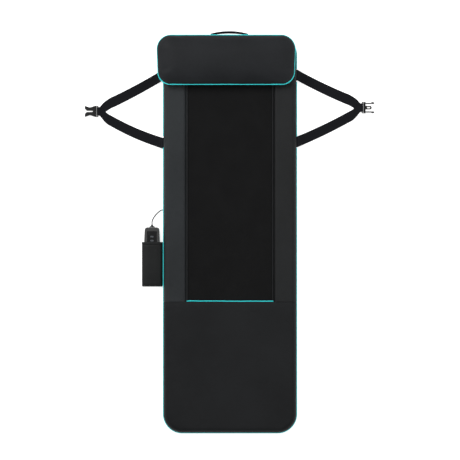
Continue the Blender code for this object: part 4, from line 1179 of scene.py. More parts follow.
# The pillow --------------------------------------------------------------------------------------
@dataclass
class Pillow:
    """The head pillow: a stuffed leather case with satin piping round its seam."""

    centre: Vector
    half_x: float
    half_y: float
    seam_z: float
    base_z: float
    top_z: float
    piping: float
    taper: float = 0.027
    head_corner: float = 0.062
    foot_corner: float = 0.055
    roll: float = 0.066
    swell_limit: float = 0.012

    @classmethod
    def from_frame(cls) -> "Pillow":
        """Read the pillow's place and size from the frame."""
        low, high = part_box("pillow_piping")
        base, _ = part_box("pillow_back_panel")
        _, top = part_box("pillow_top_panel")
        piping = (high.z - low.z) / 2
        half_x, half_y = (high.x - low.x) / 2 + 0.0018, (high.y - low.y) / 2
        return cls((low + high) / 2, half_x, half_y, (low.z + high.z) / 2, base.z, top.z, piping)

    def half_width(self, v: float, inset: float) -> float:
        """Half the pillow's width at a distance from its middle along Y.

        Args:
            v: Distance from the middle, towards the head if positive.
            inset: How far the outline is shrunk.

        Returns:
            Half the width, in metres.
        """
        corner = self.head_corner if v > 0 else self.foot_corner
        reach = self.half_y - inset - abs(v)
        half = (self.half_x - inset) * (1 - self.taper * (self.half_y - v) / (2 * self.half_y))
        if reach >= corner:
            return half
        return half - corner + math.sqrt(max(0.0, corner**2 - (corner - max(reach, 0.0)) ** 2))

    def edge_distance(self, u: float, v: float, inset: float) -> float:
        """How far inside the seam a place is, measured across or along, or round its corners."""
        corner = self.head_corner if v > 0 else self.foot_corner
        half = (self.half_x - inset) * (1 - self.taper * (self.half_y - v) / (2 * self.half_y))
        over_x = abs(u) - (half - corner)
        over_y = abs(v) - (self.half_y - inset - corner)
        outside = math.hypot(max(over_x, 0.0), max(over_y, 0.0))
        return corner - outside - min(max(over_x, over_y), 0.0)

    def face(self, up: int) -> list[list[Point]]:
        """One half of the case as rows of points.

        Args:
            up: 1 for the upper half, -1 for the lower.

        Returns:
            Rows across the pillow, from its foot side to its head side.
        """
        inset = self.piping * 0.9
        end = self.half_y - inset
        near = [0.0, 0.0010, 0.0030, 0.006, 0.010, 0.016, 0.024]
        vs = [-end + d for d in near] + span(-end + near[-1], end - near[-1], 0.009)[1:-1]
        vs += [end - d for d in near[::-1]]
        edge = [1 - d / self.half_x for d in near]
        shares = [-t for t in edge] + span(-edge[-1], edge[-1], 0.010 / self.half_x)[1:-1] + edge[::-1]
        tall = (self.top_z - self.seam_z) if up > 0 else (self.seam_z - self.base_z)
        rows = []
        for v in vs:
            half = self.half_width(v, inset)
            row = []
            for t in shares:
                share = rounded(self.edge_distance(half * t, v, inset), self.roll) ** 1.12
                z = self.seam_z + up * tall * 0.93 * share
                row.append((self.centre.x + half * t, self.centre.y + v, z))
            rows.append(row)
        return rows

    def build(self) -> None:
        """Build the stuffed case, its piping and the foam inside it."""
        bm = bmesh.new()
        add_grid(bm, self.face(1))
        add_grid(bm, self.face(-1))
        case = as_object("pillow_case", bm, PILLOW_LEATHER, 70.0)
        self.stuff(case)
        self.shape(case)
        settle(case, Body.PILLOW, ["pillow_top_panel", "pillow_back_panel"])
        self.trim()
        shrunk = shrunk_copy("pillow_foam", "pillow_filling", self.centre, (0.95, 0.86, 0.80), FOAM_SKIN)
        settle(shrunk, Body.PILLOW, ["pillow_foam"])

    def stuff(self, case: bpy.types.Object) -> None:
        """Swell the case by cloth simulation, with its seam held, and keep the result as its mesh.

        Args:
            case: The closed leather case.
        """
        held = case.vertex_groups.new(name="seam")
        start = [v.co.copy() for v in case.data.vertices]
        held.add([i for i, co in enumerate(start) if abs(co.z - self.seam_z) < 1e-4], 1.0, "REPLACE")
        cloth = case.modifiers.new("stuffing", "CLOTH")
        cloth.settings.quality = 5
        cloth.settings.mass = 0.4
        cloth.settings.use_pressure = True
        cloth.settings.uniform_pressure_force = 3.0
        cloth.settings.tension_stiffness = 20.0
        cloth.settings.compression_stiffness = 8.0
        cloth.settings.bending_stiffness = 0.35
        cloth.settings.vertex_group_mass = "seam"
        cloth.settings.effector_weights.gravity = 0.0
        cloth.point_cache.frame_end = 20
        scene = bpy.context.scene
        for step in range(1, 21):
            scene.frame_set(step)
        shaped = case.evaluated_get(bpy.context.evaluated_depsgraph_get()).to_mesh()
        moved = [v.co.copy() for v in shaped.vertices]
        case.modifiers.remove(cloth)
        scene.frame_set(1)
        for vertex, old, new in zip(case.data.vertices, start, moved):
            shift = new - old
            if shift.length > self.swell_limit:
                shift *= self.swell_limit / shift.length
            vertex.co = old + shift

    def shape(self, case: bpy.types.Object) -> None:
        """Add the seam's small gathers and soft hollows, and keep the case inside its height."""
        for vertex in case.data.vertices:
            co = vertex.co
            u, v = co.x - self.centre.x, co.y - self.centre.y
            edge = self.edge_distance(u, v, self.piping * 0.9)
            up = 1 if co.z > self.seam_z else -1
            along = math.atan2(v * 2.2, u) * 0.21
            dip = -0.0034 * pucker(along, max(edge, 0.0), 0.030, 0.034, 4.0 + up)
            dip += 0.0022 * (0.5 + 0.5 * wave(co.x, co.y, 2.0 * up, 0.11)) * rounded(edge, self.roll)
            co.z -= up * dip
            co.z = min(max(co.z, self.base_z + 0.0005), self.top_z + 0.004)
        case.data.update()

    def seam(self, inset: float, step: float) -> list[Plan]:
        """The seam's outline, anticlockwise from the middle of its head side.

        Args:
            inset: How far inside the outer line.
            step: About how far apart the points are.

        Returns:
            (x, y) points.
        """
        head, foot = self.half_y - inset, -(self.half_y - inset)
        right: list[Plan] = []
        half = self.half_width(0.0, inset)
        for corner, end, way in ((self.head_corner, head, 1), (self.foot_corner, foot, -1)):
            share = self.half_width(way * (self.half_y - corner), inset) / half
            radius = corner - inset
            flat = half * share - radius
            turn = [
                (flat + radius * math.sin(a), end - way * radius * (1 - math.cos(a))) for a in arc(0, 90, 12)
            ]
            right += turn if way > 0 else turn[::-1]
        flat_head = [(x, head) for x in span(0.0, right[0][0], step)[:-1]]
        flat_foot = [(x, foot) for x in span(right[-1][0], 0.0, step)[1:]]
        side = []
        for low, high in zip(right, right[1:]):
            side.append(low)
            if math.dist(low, high) > 3 * step:
                side += [
                    (low[0] + (high[0] - low[0]) * t, low[1] + (high[1] - low[1]) * t)
                    for t in span(0.0, 1.0, step / math.dist(low, high))[1:-1]
                ]
        clockwise = flat_head + side + [right[-1]] + flat_foot
        loop = clockwise + [(-x, y) for x, y in reversed(clockwise[1:-1])]
        return [(self.centre.x + x, self.centre.y + y) for x, y in loop[::-1]]

    def trim(self) -> None:
        """The piping round the seam."""
        bm = bmesh.new()
        seam = self.seam(self.piping, 0.006)
        line = [(x, y, self.seam_z + 0.0008 * wave(x, y, 5.0, 0.07)) for x, y in seam]
        ring_tube(bm, line, self.piping)
        settle(as_object("pillow_piping_cord", bm, PIPING_SATIN), Body.PILLOW, ["pillow_piping"])


def shrunk_copy(
    node: str, name: str, centre: Vector, scale: tuple[float, float, float], finish: Finish
) -> bpy.types.Object:
    """A smaller copy of a frame node's mesh, about a centre.

    Args:
        node: The frame node.
        name: The copy's name.
        centre: What it shrinks towards.
        scale: Scale along X, Y and Z.
        finish: Its finish.

    Returns:
        The new object.
    """
    bm = bmesh.new()
    bm.from_mesh(bpy.data.objects[node].data)
    for vertex in bm.verts:
        vertex.co = centre + Vector([d * s for d, s in zip(vertex.co - centre, scale)])
    return as_object(name, bm, finish, 30.0)


@dataclass
class Filling:
    """Foam and heating sheet inside a section, pressed down under its cover."""

    sizes: MatSizes
    press: float = 0.0042
    draw_in: float = 0.010
    edge_zone: float = 0.03
    step_back: float = 0.008
    step_zone: tuple[float, float] = (-0.002, 0.020)

    def build(self) -> None:
        """Press down the foam cores and the leg's heating sheet."""
        self.pressed("back_foam_core", "back_foam_block", FOAM_SKIN, Body.BACK)
        self.pressed("leg_foam_core", "leg_foam_block", FOAM_SKIN, Body.LEG)
        self.pressed("leg_heating_sheet", "leg_carbon_sheet", CARBON_CLOTH, Body.LEG)

    def pressed(self, node: str, name: str, finish: Finish, body: Body) -> None:
        """A copy of a filling with its top pressed down and its sides drawn in.

        The back's foam also steps back from the groove beside the mesh, where it would show.

        Args:
            node: The frame node.
            name: The copy's name.
            finish: Its finish.
            body: The body that it rides on.
        """
        s = self.sizes
        near, far = self.step_zone
        bm = bmesh.new()
        bm.from_mesh(bpy.data.objects[node].data)
        for vertex in bm.verts:
            share = min(1.0, max(0.0, (vertex.co.z - s.seam_z) / (s.top_z - s.seam_z)))
            from_edge = s.half_width(vertex.co.y) - abs(vertex.co.x)
            if vertex.co.z > s.mesh_z - 0.004 or from_edge < self.edge_zone:
                vertex.co.z -= self.press * share
                if body is Body.BACK and near < abs(vertex.co.x) - s.mesh_x < far:
                    vertex.co.x += math.copysign(self.step_back, vertex.co.x)
                else:
                    vertex.co.x -= self.draw_in * share * vertex.co.x
        piece = as_object(name, bm, finish, 30.0)
        settle(piece, body, [node])


# Straps, buckles and handle ----------------------------------------------------------------------
@dataclass
class Strap:
    """A webbing loop from the edge seam round the buckle's bar and back, as one flat ribbon."""

    side: Side
    edge_x: float
    seam_z: float
    bar: Vector
    roots_y: tuple[float, float] = ROOTS_Y
    width: float = 0.0470
    thick: float = 0.0018
    spread: float = 0.0140
    gather: float = 0.030
    sag: float = 0.0050
    lower_sag: float = 0.0050
    floor: float = 0.0012
    wrap: float = 0.0034

    def route(self) -> list[Point]:
        """The ribbon's centre line: upper arm out on the floor, round the bar, lower arm back on top."""
        upper, lower = self.roots_y
        reach = abs(self.bar.x) - self.edge_x
        cross = 1.15 * self.width / ((upper - lower) / reach)
        away = abs(self.bar.x)
        drop = [(self.edge_x - 0.004, self.seam_z + 0.0006), (self.edge_x + 0.002, self.seam_z - 0.0012)]
        drop += [(self.edge_x + 0.010, 0.0150), (self.edge_x + 0.022, 0.0075), (self.edge_x + 0.036, 0.0030)]
        drop += [(self.edge_x + 0.056, self.floor)]
        under = drop + [(x, self.floor) for x in span(self.edge_x + 0.075, away - cross, 0.02)]
        under += [(away - 0.020, self.floor), (away - 0.008, self.bar.z - self.wrap - 0.0004)]
        wrap = self.wrap
        bend = [(away + wrap * math.cos(a), self.bar.z + wrap * math.sin(a)) for a in arc(-90, 180, 8)]
        above = self.floor + self.thick + 0.0006
        over = drop + [(x, self.floor + 0.0003) for x in span(self.edge_x + 0.075, away - cross, 0.02)]
        over += [(away - 0.8 * cross, above), (away - 0.020, above + 0.0008)]
        over += [(away - 0.008, self.bar.z + self.wrap - 0.0004)]
        first = [self.placed(x, z, upper) for x, z in under]
        last = [self.placed(x, z, lower) for x, z in reversed(over)]
        return first + [self.placed(x, z, self.bar.y) for x, z in bend] + last

    def placed(self, x: float, z: float, root_y: float) -> Point:
        """A station's place: it nears its side of the bar along a bowed line, then gathers on the bar."""
        upper = root_y > self.bar.y
        reach = abs(self.bar.x) - self.edge_x
        share = min(1.0, max(0.0, (x - self.edge_x) / (reach - 0.010)))
        aim = self.bar.y + (self.spread if upper else -self.spread)
        sag = self.sag if upper else self.lower_sag
        y = root_y + (aim - root_y) * share - sag * math.sin(math.pi * share)
        drawn = self.drawn(x)
        lift = 0.0010 * math.sin(math.pi * share) ** 2 * (1 + wave(x, root_y, 0.0, 0.07))
        return (self.side.value * x, y + (self.bar.y - y) * drawn, z + lift)

    def drawn(self, x: float) -> float:
        """How far the webbing is gathered towards the bar's middle, from 0 to 1."""
        t = min(1.0, max(0.0, (x - abs(self.bar.x) + self.gather) / (self.gather - 0.007)))
        return t * t * (3 - 2 * t)

    def build(self) -> None:
        """Build the ribbon, held at its sewn roots and free to lift outside the edge."""
        line = smooth_route(self.route(), 0.0065)
        bm = bmesh.new()
        rings = []
        for i, (x, y, z) in enumerate(line):
            before, after = line[max(i - 1, 0)], line[min(i + 1, len(line) - 1)]
            dx, dz = after[0] - before[0], after[2] - before[2]
            size = math.hypot(dx, dz) or 1.0
            up = (-dz / size * self.side.value, dx / size * self.side.value)
            rings.append([(x + up[0] * k, y + w, z + up[1] * k) for w, k in self.section(x, y)])
        add_solid(bm, rings)
        name = f"{self.side.name.lower()}_strap"
        webbing = as_object(f"{name}_webbing", bm, STRAP_WEBBING, 60.0)
        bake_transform(webbing)
        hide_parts(name)

    def section(self, x: float, y: float) -> list[Plan]:
        """(across, up) points round the ribbon, flat with thick woven edges."""
        half, rise = self.width / 2 * (1 - 0.22 * self.drawn(abs(x))), self.thick / 2
        cup = 0.0003 * wave(x, y, 6.0, 0.04)
        top = []
        for w in (-0.97, -0.85, -0.4, 0, 0.4, 0.85, 0.97):
            thinner = 0.28 if abs(w) < 0.86 else 0
            top.append((w * half, rise * (1.0 - thinner) + cup * (1 - w * w)))
        low = [(w, -k + 2 * cup * (1 - (w / half) ** 2)) for w, k in reversed(top)]
        return [(-half, 0.0)] + top + [(half, 0.0)] + low


@dataclass
class MouldedPart:
    """A moulded piece whose frame node has the right shape, with its edges eased as a mould leaves them."""

    node: str
    name: str
    finish: Finish
    body: Body
    slot: str
    ease: float = 0.0005

    def build(self) -> None:
        """Copy the node, carve it, clean its faces, round its edges and dress it."""
        bm = bmesh.new()
        bm.from_mesh(bpy.data.objects[self.node].data)
        rough = as_object(f"{self.name}_blank", bm, self.finish)
        self.carve(rough)
        bm = bmesh.new()
        bm.from_mesh(rough.data)
        bpy.data.objects.remove(rough)
        bmesh.ops.remove_doubles(bm, verts=bm.verts, dist=2e-5)
        bmesh.ops.dissolve_limit(bm, angle_limit=math.radians(1.5), verts=bm.verts, edges=bm.edges)
        crisp = [e for e in bm.edges if len(e.link_faces) == 2 and e.calc_face_angle(0.0) > math.radians(35)]
        bmesh.ops.bevel(
            bm, geom=crisp, offset=self.ease, offset_type="OFFSET", segments=2, profile=0.6,
            clamp_overlap=True, affect="EDGES",
        )
        piece = even_shading(as_object(self.name, bm, self.finish, 38.0))
        settle(piece, self.body, [self.node])

    def carve(self, blank: bpy.types.Object) -> None:
        """Cut the blank where the moulded piece differs from its node; most pieces don't."""


@dataclass
class BuckleSocket(MouldedPart):
    """The socket, whose two lugs curl apart round a slit that runs right through."""

    slit_half: float = 0.0026
    slit_start: float = 0.0085
    slit_end: float = 0.0345
    flare_half: float = 0.0115

    def carve(self, blank: bpy.types.Object) -> None:
        """Cut the flared slit between the lugs."""
        low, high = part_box(self.node)
        middle = (low.y + high.y) / 2
        tip = low.x
        upper = [(tip - 0.002, self.flare_half), (tip + 0.0015, self.flare_half * 0.86)]
        upper += [(tip + 0.0045, self.flare_half * 0.48), (tip + self.slit_start, self.slit_half)]
        half = self.slit_half
        round_x = tip + self.slit_end - half
        upper += [(round_x + half * math.sin(a), half * math.cos(a)) for a in arc(0, 90, 5)]
        plan = upper + [(x, -y) for x, y in reversed(upper[:-1])]
        bm = bmesh.new()
        add_solid(bm, [[(x, middle + y, z) for x, y in plan] for z in (low.z - 0.005, high.z + 0.005)])
        cutter = as_object("slit_cutter", bm, self.finish)
        cut_by(blank, cutter)
        bpy.data.objects.remove(cutter)


@dataclass
class CarryHandle:
    """The bowed handle at the head end: rolled webbing with a stitched spine."""

    low: Vector
    high: Vector

    @classmethod
    def from_frame(cls) -> "CarryHandle":
        """Read the handle's place from the frame."""
        return cls(*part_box("carry_handle"))

    @staticmethod
    def fullness(share: float) -> float:
        """How thick the roll is against its frame node, from its middle (0) to an end (1)."""
        return 1.38 - 0.45 * abs(share) ** 2.5

    def build(self) -> None:
        """Build the rolled handle and its stitches."""
        radius = (self.high.z - self.low.z) / 2
        z = (self.high.z + self.low.z) / 2
        centre_x, reach = (self.low.x + self.high.x) / 2, (self.high.x - self.low.x) / 2 - 0.001
        root_y = self.low.y + radius
        bow = self.high.y - radius - root_y
        stations = span(-1.0, 1.0, 0.04)
        line = [(centre_x + reach * t, root_y + bow * (1 - t * t), z) for t in stations]
        bm = bmesh.new()
        rings = []
        for (place, first, second), t in zip(frames_along(line), stations):
            size = radius * self.fullness(t) * (1 + 0.03 * wave(place.x, 0.0, 0.0, 0.02))
            rings.append(ring_round(place, first, second, size, 14))
        add_solid(bm, rings)
        roll = as_object("carry_handle_roll", bm, STRAP_WEBBING, 60.0)
        settle(roll, Body.HANDLE, ["carry_handle"])
        bm = bmesh.new()
        crown = [(x, y, z + radius * self.fullness((x - centre_x) / reach)) for x, y, _ in line]
        add_stitches(bm, smooth_route(crown, 0.002), 0.006, 0.004)
        settle(as_object("carry_handle_stitches", bm, STITCH_THREAD), Body.HANDLE, ())


# Pocket, handset and cord ------------------------------------------------------------------------
@dataclass
class Pocket:
    """The handset's leather pocket on the left edge: open at its head end, sewn shut at its foot end."""

    low: Vector
    high: Vector
    tongue_x: float
    tongue_z: tuple[float, float]
    rest_y: float
    roll: float = 0.0105
    shoulder: float = 0.027
    cover: float = 0.0015

    @classmethod
    def from_frame(cls, sizes: MatSizes) -> "Pocket":
        """Read the pocket's place from the frame."""
        low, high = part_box("controller_pocket")
        rim = sizes.base_rim_z + 0.0004
        handset_low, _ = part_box("handset_back_shell")
        return cls(
            low, Vector((-sizes.edge_x - 0.0012, high.y, high.z)), high.x, (rim, rim + 0.0019), handset_low.y
        )

    def top_z(self, y: float) -> float:
        """The bag's height: full over the handset and slack towards its sewn end."""
        slack = min(1.0, max(0.0, (self.rest_y - y) / 0.060))
        sewn = max(0.0, 1 - (y - self.low.y) / 0.014)
        return self.high.z - 0.0035 * slack * slack - 0.011 * (1 - math.sqrt(1 - sewn * sewn))

    def section(self, y: float, shrink: float) -> list[Point]:
        """Points round the bag at a Y, shrunk by its cover for the inside."""
        low_x, high_x = self.low.x + shrink, self.high.x - shrink
        low_z, high_z = self.low.z + shrink, self.top_z(y) - shrink
        points: list[Plan] = []
        for right, top, start in ((0, 0, 180), (1, 0, 270), (1, 1, 0), (0, 1, 90)):
            wide, tall = self.roll, self.roll * 0.6
            if top:
                wide, tall = self.shoulder - shrink, self.roll * 1.2 - shrink
            cx = high_x - wide if right else low_x + wide
            cz = high_z - tall if top else low_z + tall
            points += [(cx + wide * math.cos(a), cz + tall * math.sin(a)) for a in arc(start, 90, 9)]
        full: list[Plan] = []
        for i, (first, last) in enumerate(zip(points, points[1:] + points[:1])):
            steps = (9, 1, 5, 1)[i // 10] if i % 10 == 9 else 1
            full += [tuple(a + (b - a) * k / steps for a, b in zip(first, last)) for k in range(steps)]
        return [self.eased(x, y, z) for x, z in full]

    def eased(self, x: float, y: float, z: float) -> Point:
        """A point of the bag with the leather's own slack: its face bellies and ripples a little."""
        share = (x - self.low.x) / (self.high.x - self.low.x)
        if z < self.low.z + 0.014:
            return (x, y, z)
        belly = 0.0010 * math.sin(math.pi * min(1.0, max(0.0, share)))
        near_end = math.exp(-(y - self.low.y) / 0.03)
        ripple = 0.0009 * wave(x, y, 4.0, 0.035) - 0.0014 * near_end * abs(wave(x, y * 0.3, 9.0, 0.016))
        return (x - 0.0009 * near_end * wave(x, y, z, 0.02), y, z + belly + ripple - 0.0004)

    def build(self) -> None:
        """Build the bag, its hem, its sewn flange and its stitches."""
        bm = bmesh.new()
        end, mouth = self.low.y, self.high.y
        outside = [end + d for d in (0.0, 0.0006, 0.0018, 0.004, 0.008)]
        outside += span(end + 0.013, mouth - 0.0125, 0.007) + [mouth - 0.0118, mouth - 0.0112]
        rings = [self.section(y, 0.0012 * max(0.0, 1 - (y - end) / 0.003)) for y in outside[:-2]]
        rings += [self.section(y, s) for y, s in ((mouth - 0.0120, 0.0003), (mouth - 0.0114, -0.0005))]
        rings += [self.section(y, -0.0006) for y in (mouth - 0.006, mouth - 0.0012)]
        rings += [self.section(mouth - 0.0003, -0.0002), self.section(mouth, 0.0006)]
        rings += [self.section(mouth - 0.0003, 0.0013)]
        inside = (mouth - 0.002, mouth - 0.02, mouth - 0.06, self.rest_y)
        rings += [self.section(y, self.cover) for y in inside]
        rings += [self.section(y, self.cover + 0.0006) for y in (end + 0.020, end + 0.006)]
        add_solid(bm, rings)
        bag = as_object("pocket_bag", bm, POCKET_LEATHER, 75.0)
        settle(bag, Body.BACK, ["controller_pocket"])
        bm = bmesh.new()
        low_z, high_z = self.tongue_z
        inner_x = self.high.x - self.cover * 0.7
        flange = [(inner_x, low_z), (self.tongue_x, low_z), (self.tongue_x, high_z), (inner_x, high_z)]
        add_solid(bm, [[(x, y, z) for x, z in flange] for y in span(end + 0.005, mouth - 0.004, 0.012)])
        tongue = as_object("pocket_flange", bm, POCKET_LEATHER, 30.0)
        settle(tongue, Body.BACK, ["controller_pocket"])
        self.stitch()

    def stitch(self) -> None:
        """Stitches below the hem and above the sewn end."""
        bm = bmesh.new()
        for y in (self.high.y - 0.0095, self.low.y + 0.0125):
            row = [p for p in self.section(y, -0.0003) if p[2] > self.top_z(y) - 0.004]
            add_stitches(bm, sorted(row), 0.0055, 0.0036)
        settle(as_object("pocket_stitches", bm, STITCH_THREAD), Body.BACK, ())


@dataclass
class Handset:
    """The wired handset: two rounded shells, a sunk keypad film, domed keys and a ribbed strain relief."""

    centre_x: float
    low_y: float
    high_y: float
    base_z: float
    seam_z: float
    face_z: float
    pad_low: Vector
    pad_high: Vector
    half: float = 0.0305
    bulge: float = 0.115
    corner: float = 0.010
    edge: float = 0.0046
    wall: float = 0.002
    gap: float = 0.00015

    @classmethod
    def from_frame(cls) -> "Handset":
        """Read the handset's place and size from the frame."""
        front_low, front_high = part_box("handset_front_shell")
        back_low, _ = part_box("handset_back_shell")
        pad_low, pad_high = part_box("handset_keypad_plate")
        middle = (front_low.x + front_high.x) / 2
        return cls(
            middle, front_low.y, front_high.y, back_low.z, front_low.z, front_high.z, pad_low, pad_high
        )

    def plan(self, inset: float) -> list[Plan]:
        """The handset's outline, anticlockwise, a little wider at its middle."""
        middle, reach = (self.low_y + self.high_y) / 2, (self.high_y - self.low_y) / 2
        made = rounded_plan(self.half - inset, self.low_y + inset, self.high_y - inset, self.corner - inset)
        return [
            (self.centre_x + x * (1 + self.bulge * (1 - ((y - middle) / reach) ** 2)), y) for x, y in made
        ]

    def pad_plan(self, grow: float) -> list[Plan]:
        """The keypad's outline with small corners, point for point with the handset's own."""
        half = (self.pad_high.x - self.pad_low.x) / 2 + grow
        made = rounded_plan(half, self.pad_low.y - grow, self.pad_high.y + grow, 0.003 + grow)
        return [(self.centre_x + x, y) for x, y in made]

    def build(self) -> None:
        """Build every piece of the handset."""
        holes = self.key_holes()
        self.front(holes)
        self.back()
        self.keypad(holes)
        bpy.data.objects.remove(holes)
        for number in range(1, 5):
            self.key(number)
        self.strain_relief()

    def front(self, holes: bpy.types.Object) -> None:
        """The front shell, with a raised lip round the sunk keypad and openings for the keys."""
        rings = [[(x, y, self.seam_z + self.gap) for x, y in self.plan(0.0006)]]
        rings += [[(x, y, self.seam_z + 0.0009) for x, y in self.plan(0.0)]]
        for a in arc(0, 90, 6):
            inset, z = self.edge * (1 - math.cos(a)), self.face_z - self.edge * (1 - math.sin(a))
            rings.append([(x, y, z) for x, y in self.plan(inset)])
        floor = self.pad_low.z - 0.0003
        lip = [(0.0022, 0.0), (0.0016, 0.0003), (0.0008, 0.0003), (0.0004, 0.0)]
        rings += [[(x, y, self.face_z + rise) for x, y in self.pad_plan(grow)] for grow, rise in lip]
        rings += [[(x, y, floor) for x, y in self.pad_plan(0.0003)]]
        bm = bmesh.new()
        add_cup(bm, rings)
        under = [[(x, y, self.seam_z + self.gap) for x, y in self.plan(self.wall)]]
        under += [[(x, y, floor - 0.0012) for x, y in self.plan(self.wall + 0.002)]]
        add_cup(bm, [rings[0]] + under)
        shell = as_object("handset_front", bm, HANDSET_PLASTIC, 40.0)
        cut_by(shell, holes)
        settle(even_shading(shell), Body.HANDSET, ["handset_front_shell"])

    def back(self) -> None:
        """The back shell: plain, with a deep rounded edge."""
        rings = [[(x, y, self.seam_z - self.gap) for x, y in self.plan(0.0006)]]
        rings += [[(x, y, self.seam_z - 0.0009) for x, y in self.plan(0.0)]]
        for a in arc(0, 90, 6):
            inset, z = self.edge * (1 - math.cos(a)), self.base_z + self.edge * (1 - math.sin(a))
            rings.append([(x, y, z) for x, y in self.plan(inset)])
        under = [[(x, y, self.seam_z - self.gap) for x, y in self.plan(self.wall)]]
        under += [[(x, y, self.base_z + self.wall) for x, y in self.plan(self.wall + 0.003)]]
        bm = bmesh.new()
        add_cup(bm, rings)
        add_cup(bm, [rings[0]] + under)
        shell = as_object("handset_back", bm, HANDSET_PLASTIC, 40.0)
        settle(even_shading(shell), Body.HANDSET, ["handset_back_shell"])

    def keypad(self, holes: bpy.types.Object) -> None:
        """The keypad film, sunk under the lip, with openings for the keys."""
        top = self.pad_high.z - 0.0003
        rings = [[(x, y, z) for x, y in self.pad_plan(0.0)] for z in (self.pad_low.z, top - 0.0002)]
        rings.append([(x, y, top) for x, y in self.pad_plan(-0.0003)])
        bm = bmesh.new()
        add_solid(bm, rings)
        film = as_object("keypad_film", bm, KEYPAD_FILM, 30.0)
        cut_by(film, holes)
        settle(even_shading(film), Body.HANDSET, ["handset_keypad_plate"])

    def key_holes(self) -> bpy.types.Object:
        """The cutter for all the key openings."""
        bm = bmesh.new()
        for number in range(1, 5):
            low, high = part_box(f"key_{number}")
            plan = stadium(low, high, 0.0003)
            add_solid(bm, [[(x, y, z) for x, y in plan] for z in (self.seam_z, self.face_z + 0.004)])
        return as_object("key_openings", bm, KEYPAD_FILM)

    def key(self, number: int) -> None:
        """One domed rubber key."""
        low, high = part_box(f"key_{number}")
        rings = [[(x, y, low.z) for x, y in stadium(low, high, 0.0)]]
        rings += [[(x, y, high.z - 0.0011) for x, y in stadium(low, high, 0.0)]]
        for a in arc(0, 90, 4)[1:]:
            plan, z = stadium(low, high, -0.0016 * (1 - math.cos(a))), high.z - 0.0011 * (1 - math.sin(a))
            rings.append([(x, y, z) for x, y in plan])
        bm = bmesh.new()
        add_solid(bm, rings)
        piece = as_object(f"key_{number}_dome", bm, KEY_RUBBER, 50.0)
        settle(piece, Body[f"KEY_{number}"], [f"key_{number}"])

    def strain_relief(self) -> None:
        """A broad collar with a ribbed, tapering sleeve for the cord."""
        low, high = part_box("handset_strain_relief")
        centre = Vector((self.centre_x, low.y, (low.z + high.z) / 2))
        reach, radius = high.y - low.y, (high.z - low.z) / 2
        profile = [(0.0, 0.0), (0.0, 1.9), (0.0006, 2.0), (0.0036, 1.95), (0.0046, 1.7), (0.0048, 0.95)]
        for k in range(4):
            start = 0.0054 + k * 0.0016
            wide = 0.92 - 0.09 * k
            profile += [(start, wide), (start + 0.0002, wide + 0.06), (start + 0.0007, wide + 0.06)]
            profile += [(start + 0.0009, wide - 0.12), (start + 0.0014, wide - 0.12)]
        profile += [(reach, 0.56), (reach, 0.0)]
        bm = bmesh.new()
        rings = []
        for along, size in profile[1:-1]:
            flat = 1.0 if size < 1.0 else 0.98 / size
            wide, tall = radius * size, radius * size * flat
            rings.append([
                (centre.x + wide * math.cos(a), centre.y + along, centre.z + tall * math.sin(a))
                for a in turns_round(20)
            ])
        add_solid(bm, rings)
        piece = as_object("strain_relief_sleeve", bm, SOFT_RUBBER, 50.0)
        settle(piece, Body.HANDSET, ["handset_strain_relief"])


def rounded_plan(half: float, low: float, high: float, radius: float) -> list[Plan]:
    """A rounded rectangle's outline about X = 0, always with the same number of points.

    Args:
        half: Half its width.
        low: Its lowest Y.
        high: Its highest Y.
        radius: Its corner radius.

    Returns:
        Points anticlockwise from the lower right corner.
    """
    radius = max(radius, 0.0004)
    right = [(half - radius + radius * math.sin(a), low + radius * (1 - math.cos(a))) for a in arc(0, 90, 8)]
    sides = [(half, low + radius + (high - low - 2 * radius) * i / 12) for i in range(1, 12)]
    right += sides + [(x, high + low - y) for x, y in reversed(right)]
    return right + [(-x, y) for x, y in reversed(right)]


def stadium(low: Vector, high: Vector, grow: float) -> list[Plan]:
    """A key's outline: straight sides and round ends.

    Args:
        low: The key's low corner.
        high: The key's high corner.
        grow: How far the outline is grown.

    Returns:
        Points anticlockwise.
    """
    centre = (low + high) / 2
    radius = (high.y - low.y) / 2 + grow
    reach = (high.x - low.x) / 2 - (high.y - low.y) / 2
    outline = []
    for way, start in ((1, -90), (-1, 90)):
        middle_x = centre.x + way * reach
        turn = arc(start, 180, 12)
        outline += [(middle_x + radius * math.cos(a), centre.y + radius * math.sin(a)) for a in turn]
    return outline


def cut_by(piece: bpy.types.Object, cutter: bpy.types.Object) -> None:
    """Cut a closed piece by a cutter and keep the result as its mesh."""
    cut = piece.modifiers.new("openings", "BOOLEAN")
    cut.operation = "DIFFERENCE"
    cut.solver = "EXACT"
    cut.object = cutter
    shaped = piece.evaluated_get(bpy.context.evaluated_depsgraph_get())
    made = bpy.data.meshes.new_from_object(shaped)
    piece.modifiers.remove(cut)
    old = piece.data
    piece.data = made
    made.name = piece.name
    bpy.data.meshes.remove(old)
    made.shade_smooth()
    made.set_sharp_from_angle(angle=math.radians(40))


@dataclass
class HandsetCord:
    """The handset's cord, from the mat's grommet to the handset's strain relief."""

    route: tuple[Point, ...] = (
        (-0.2873, 0.105, 0.0135),
        (-0.2955, 0.1035, 0.0115),
        (-0.3070, 0.0950, 0.0065),
        (-0.3190, 0.0830, 0.0042),
        (-0.3290, 0.0680, 0.0060),
        (-0.3333, 0.0560, 0.0112),
        (-0.3335, 0.0490, 0.0131),
        (-0.3335, 0.0434, 0.0132),
    )
    radius: float = 0.0024

    def build(self) -> None:
        line = smooth_route(self.route, 0.0016)
        bm = bmesh.new()
        add_tube(bm, line, self.radius, sides=14)
        cord = as_object("handset_cable", bm, CABLE_JACKET, 60.0)
        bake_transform(cord)
        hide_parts("handset_cord")


# Studio ------------------------------------------------------------------------------------------
@dataclass(frozen=True)
class Lamp:
    """A square soft light that looks at the mat's middle: its place, its side and its power in watts."""

    name: str
    place: Point
    size: float
    power: float


